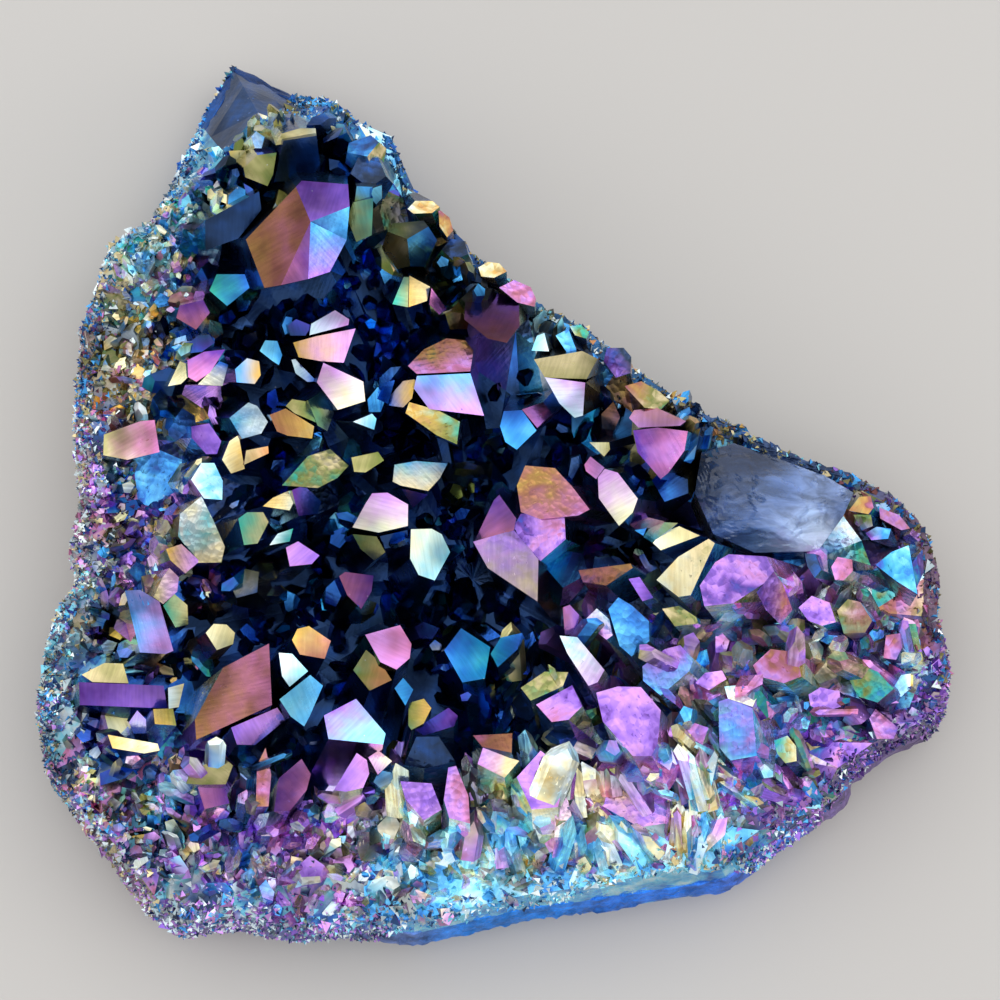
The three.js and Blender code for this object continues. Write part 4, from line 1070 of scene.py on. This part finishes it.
# Fine growth on the crumpled faces: thin flakes that lie along each face and share its colour
FLAKE_TRIES = 60000
growth = Growth()
crystal_looks = np.array(looks.rows)
face_ids = read_all(crystals.data.attributes["facet"].data, "value", kind=int)
for _ in range(FLAKE_TRIES):
    x, y = rng.uniform(-62, 60), rng.uniform(-60, 62)
    if rng.random() > crumple_at(x, y) * 0.4:
        continue
    point, normal, index = drop(crystal_tree, x, y)
    if point is None or normal[2] < 0.15:
        continue
    row = crystal_looks[face_ids[index]]
    axis = unit(normal + 0.12 * leaning(90, rng.uniform(0, 360)))
    fibre = unit(flat_on(unit(flat_on(row[FIBRE], normal) + 1e-4), axis))
    rows = np.array([fibre, np.cross(axis, fibre), axis])
    long = rng.uniform(0.4, 1.3)
    ends = [drop(crystal_tree, *(point + fibre * reach)[:2])[2] for reach in (-long, long)]
    if any(face_ids[end] != face_ids[index] for end in ends):
        continue
    sizes = (long, long * rng.uniform(0.25, 0.6), long * rng.uniform(0.05, 0.18))
    first = looks.like(row, rng.uniform(0.85, 1.15), 0.8)
    growth.add(POINT, rows * np.array(sizes)[:, None], point - axis * sizes[2] * 0.2, first, spread=False)
growth_object = growth.object("druzy_fine_growth")
looks.write(growth_object)


# ---------------------------------------------------------------- materials

class Shader:
    """A material that is being made: its methods add nodes and return their outputs."""

    def __init__(self, name):
        self.material = bpy.data.materials.new(name)
        self.material.use_nodes = True
        self.tree = self.material.node_tree
        self.tree.nodes.clear()
        self.place = self.add("TexCoord")["Object"]

    def add(self, kind, inputs=None, **settings):
        """A node with its settings and its inputs: values are set, outputs of others are linked."""
        made = self.tree.nodes.new("ShaderNode" + kind)
        for name, value in settings.items():
            setattr(made, name, value)
        for key, value in (inputs or {}).items():
            if isinstance(value, bpy.types.NodeSocket):
                self.tree.links.new(value, made.inputs[key])
            else:
                made.inputs[key].default_value = value
        return made.outputs

    def maths(self, operation, a, b, clamp=False):
        return self.add("Math", {0: a, 1: b}, operation=operation, use_clamp=clamp)[0]

    def plus(self, a, b, clamp=False):
        return self.maths("ADD", a, b, clamp)

    def times(self, a, b):
        return self.maths("MULTIPLY", a, b)

    def swing(self, value, size):
        """A value that runs from 0 to 1 moved to run about 0, and made that large."""
        return self.times(self.maths("SUBTRACT", value, 0.5), size)

    def attribute(self, name, output="Vector"):
        return self.add("Attribute", attribute_name=name)[output]

    def three(self, vector):
        """The three numbers of a vector."""
        return self.add("SeparateXYZ", {0: vector})

    def noise(self, place, scale, detail, **inputs):
        return self.add("TexNoise", {"Vector": place, "Scale": scale, "Detail": detail, **inputs})[0]

    def cells(self, place, scale):
        return self.add("TexVoronoi", {"Vector": place, "Scale": scale})

    def fitted(self, value, low, high, new_low, new_high):
        """A value moved from one span to another."""
        return self.add("MapRange", {0: value, 1: low, 2: high, 3: new_low, 4: new_high})[0]

    def vectors(self, operation, inputs):
        return self.add("VectorMath", inputs, operation=operation)[0]

    def stretched(self, vector, **inputs):
        return self.add("Mapping", {"Vector": vector, **inputs})[0]

    def mixed(self, factor, first, second, kind="MIX"):
        """Two colours mixed."""
        return self.add("Mix", {0: factor, 6: first, 7: second}, data_type="RGBA", blend_type=kind)[2]

    def film(self, thickness):
        """The interference colour of a film."""
        colour = self.add("ValToRGB", {0: thickness})[0]
        elements = colour.node.color_ramp.elements
        while len(elements) < len(FILM):
            elements.new(0.5)
        for element, (place, tint) in zip(elements, FILM):
            element.position = place
            element.color = (*tint, 1.0)
        return colour

    def surface(self, colour, rough, metal, relief, bump, depth, **inputs):
        """Ends the material: the surface, and a relief that is so strong and so deep in metres."""
        normal = self.add("Bump", {"Strength": bump, "Distance": depth, "Height": relief})[0]
        surface = self.add("BsdfPrincipled", {
            "Base Color": colour, "Roughness": rough, "Normal": normal, "Metallic": metal, **inputs})
        self.add("OutputMaterial", {"Surface": surface[0]})
        return self.material


def coated_material(name, metallic=1.0, patchy=0.05, bump=0.12):
    """Quartz under a thin metal film."""
    shader = Shader(name)
    place = shader.place
    first, second, run = shader.three(shader.attribute("film"))
    roughness, shade, lined = shader.three(shader.attribute("finish"))
    crumple = shader.attribute("finish", "Alpha")

    # The film's thickness wavers, and goes in cells where the face is crumpled
    cloud = shader.noise(place, 260.0, 2.0)
    bent = shader.noise(place, 230.0, 2.0, Distortion=0.8)
    warped = shader.vectors("ADD", {0: place, 1: shader.vectors("SCALE", {0: bent, "Scale": 0.0012})})
    cells = shader.cells(warped, 1100.0)
    jump = shader.swing(shader.three(cells["Color"])[0], 0.05)
    ripple = shader.swing(bent, 0.4)
    shift = shader.plus(shader.swing(cloud, patchy * 2), shader.times(shader.plus(jump, ripple), crumple))

    # One tint runs into the other, with pale dots on both
    uneven = shader.noise(place, 420.0, 2.0)
    wide = shader.noise(place, 130.0, 1.5)
    blend = shader.plus(run, shader.swing(uneven, 0.8))
    blend = shader.plus(blend, shader.swing(wide, shader.times(crumple, 3.0)), clamp=True)
    first, second = (shader.film(shader.plus(thickness, shift)) for thickness in (first, second))
    tint = shader.mixed(blend, first, second)
    dot = shader.fitted(shader.cells(place, 420.0)["Distance"], 0.02, 0.05, 0.5, 0.0)
    tint = shader.mixed(dot, tint, (0.75, 0.75, 0.75, 1.0))

    # Growth lines darken it, and so do wide patches of painted shade, which stand for dark neighbours
    # reflected in the face
    grain = shader.stretched(shader.attribute("grain"), Scale=(0.25, 2.6, 1.0))
    lines = shader.noise(grain, 1.0, 2.0)
    stripe = shader.times(shader.fitted(lines, 0.35, 0.65, -0.45, 0.2), shader.times(lined, 0.8))
    least = shader.plus(0.5, shader.times(crumple, 0.4))
    painted_reflection_shade = shader.fitted(wide, 0.36, 0.6, least, 1.1)
    light = shader.times(shade, shader.times(painted_reflection_shade, shader.plus(stripe, 1.0)))
    colour = shader.mixed(1.0, tint, light, "MULTIPLY")

    # The relief: growth lines and pits, and folds where the face is crumpled
    pits = shader.noise(place, 1500.0, 1.0)
    relief = shader.plus(shader.times(lines, lined), shader.times(pits, 0.25))
    folds = shader.plus(shader.times(cells["Distance"], 1.2), bent)
    relief = shader.plus(relief, shader.times(folds, shader.times(crumple, 2.5)))
    rough = shader.plus(roughness, shader.swing(uneven, 0.2), clamp=True)
    metal = shader.maths("SUBTRACT", metallic, shader.times(crumple, 0.4))
    return shader.surface(colour, rough, metal, relief, bump, 0.0006)


def rock_material():
    """Dark rock under the same film: uneven, dull, with blue and purple in it."""
    shader = Shader("coated_rock")
    cloud = shader.noise(shader.place, 330.0, 6.0, Roughness=0.7)
    lit = shader.fitted(cloud, 0.3, 0.75, 0.35, 1.9)
    colour = shader.vectors("MULTIPLY", {0: shader.attribute("stone", "Color"), 1: lit})
    relief = shader.plus(cloud, shader.times(shader.noise(shader.place, 1400.0, 4.0), 0.5))
    return shader.surface(colour, 0.5, 0.85, relief, 0.6, 0.0008)


def quartz_material():
    """Clear quartz that the film does not cover: see-through, with pale veils and cracks in it."""
    shader = Shader("clear_quartz")
    streaked = shader.stretched(shader.place, Scale=(0.5, 1.6, 1.0), Rotation=(0.0, 0.0, 0.5))
    veil = shader.noise(streaked, 300.0, 5.0, Roughness=0.6, Distortion=0.5)
    pale = shader.fitted(veil, 0.40, 0.72, 0.75, 2.0)
    colour = shader.vectors("MULTIPLY", {0: shader.attribute("stone", "Color"), 1: pale})
    see_through = {"IOR": 1.54, "Transmission Weight": 0.6}
    return shader.surface(colour, 0.16, 0.0, veil, 0.35, 0.0006, **see_through)


crystals.data.materials.append(coated_material("coated_quartz"))
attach(crystals, "root")
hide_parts("druzy_cluster")

for piece in (crust_object, growth_object):
    piece.data.materials.append(coated_material(piece.name + "_film", metallic=0.7, patchy=0.04, bump=0.2))
    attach(piece, "root")

quartz.data.materials.append(quartz_material())
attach(quartz, "root")

rock.data.materials.append(rock_material())
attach(rock, "root")


# ---------------------------------------------------------------- floor, light and camera

def plain_material(name, colour, roughness):
    """A plain dull surface."""
    material = bpy.data.materials.new(name)
    material.use_nodes = True
    surface = next(n for n in material.node_tree.nodes if n.type == "BSDF_PRINCIPLED")
    surface.inputs["Base Color"].default_value = (*colour, 1.0)
    surface.inputs["Roughness"].default_value = roughness
    return material


def add_object(name, data, place, way):
    """A light or a camera at a place in metres that looks that way."""
    made = bpy.data.objects.new(name, data)
    bpy.context.scene.collection.objects.link(made)
    made.location = place
    made.rotation_euler = Vector(way).to_track_quat("-Z", "Y").to_euler()
    return made


def softbox(name, place, side, power, colour=(1.0, 1.0, 1.0)):
    """A square area light that faces the middle of the plate."""
    light = bpy.data.lights.new(name, "AREA")
    light.shape = "RECTANGLE"
    light.size, light.size_y = side, side
    light.energy = power
    light.color = colour
    add_object(name, light, place, Vector(TARGET * MM) - Vector(place))


FLOOR_CORNERS = [(-2000, -2000, 0), (2000, -2000, 0), (2000, 2000, 0), (-2000, 2000, 0)]
floor = new_object("floor", FLOOR_CORNERS, [(0, 1, 2, 3)])
floor.data.materials.append(plain_material("pale_floor", (0.50, 0.47, 0.42), 0.9))

softbox("overhead", (0.05, 0.12, 0.85), 1.30, 4.1)
softbox("left", (-0.90, 0.10, 0.45), 0.60, 1.2, (0.90, 0.95, 1.0))
softbox("right", (0.90, -0.20, 0.45), 0.60, 1.2, (1.0, 0.95, 0.90))

world = bpy.data.worlds.new("studio")
world.use_nodes = True
background = next(n for n in world.node_tree.nodes if n.type == "BACKGROUND")
background.inputs["Color"].default_value = (0.86, 0.90, 1.0, 1.0)
background.inputs["Strength"].default_value = 1.05
bpy.context.scene.world = world
bpy.context.scene.view_settings.view_transform = "Standard"

camera_data = bpy.data.cameras.new("camera")
camera_data.sensor_width = 36.0
camera_data.lens = 106.0
bpy.context.scene.camera = add_object("camera", camera_data, EYE * MM, (TARGET - EYE) * MM)
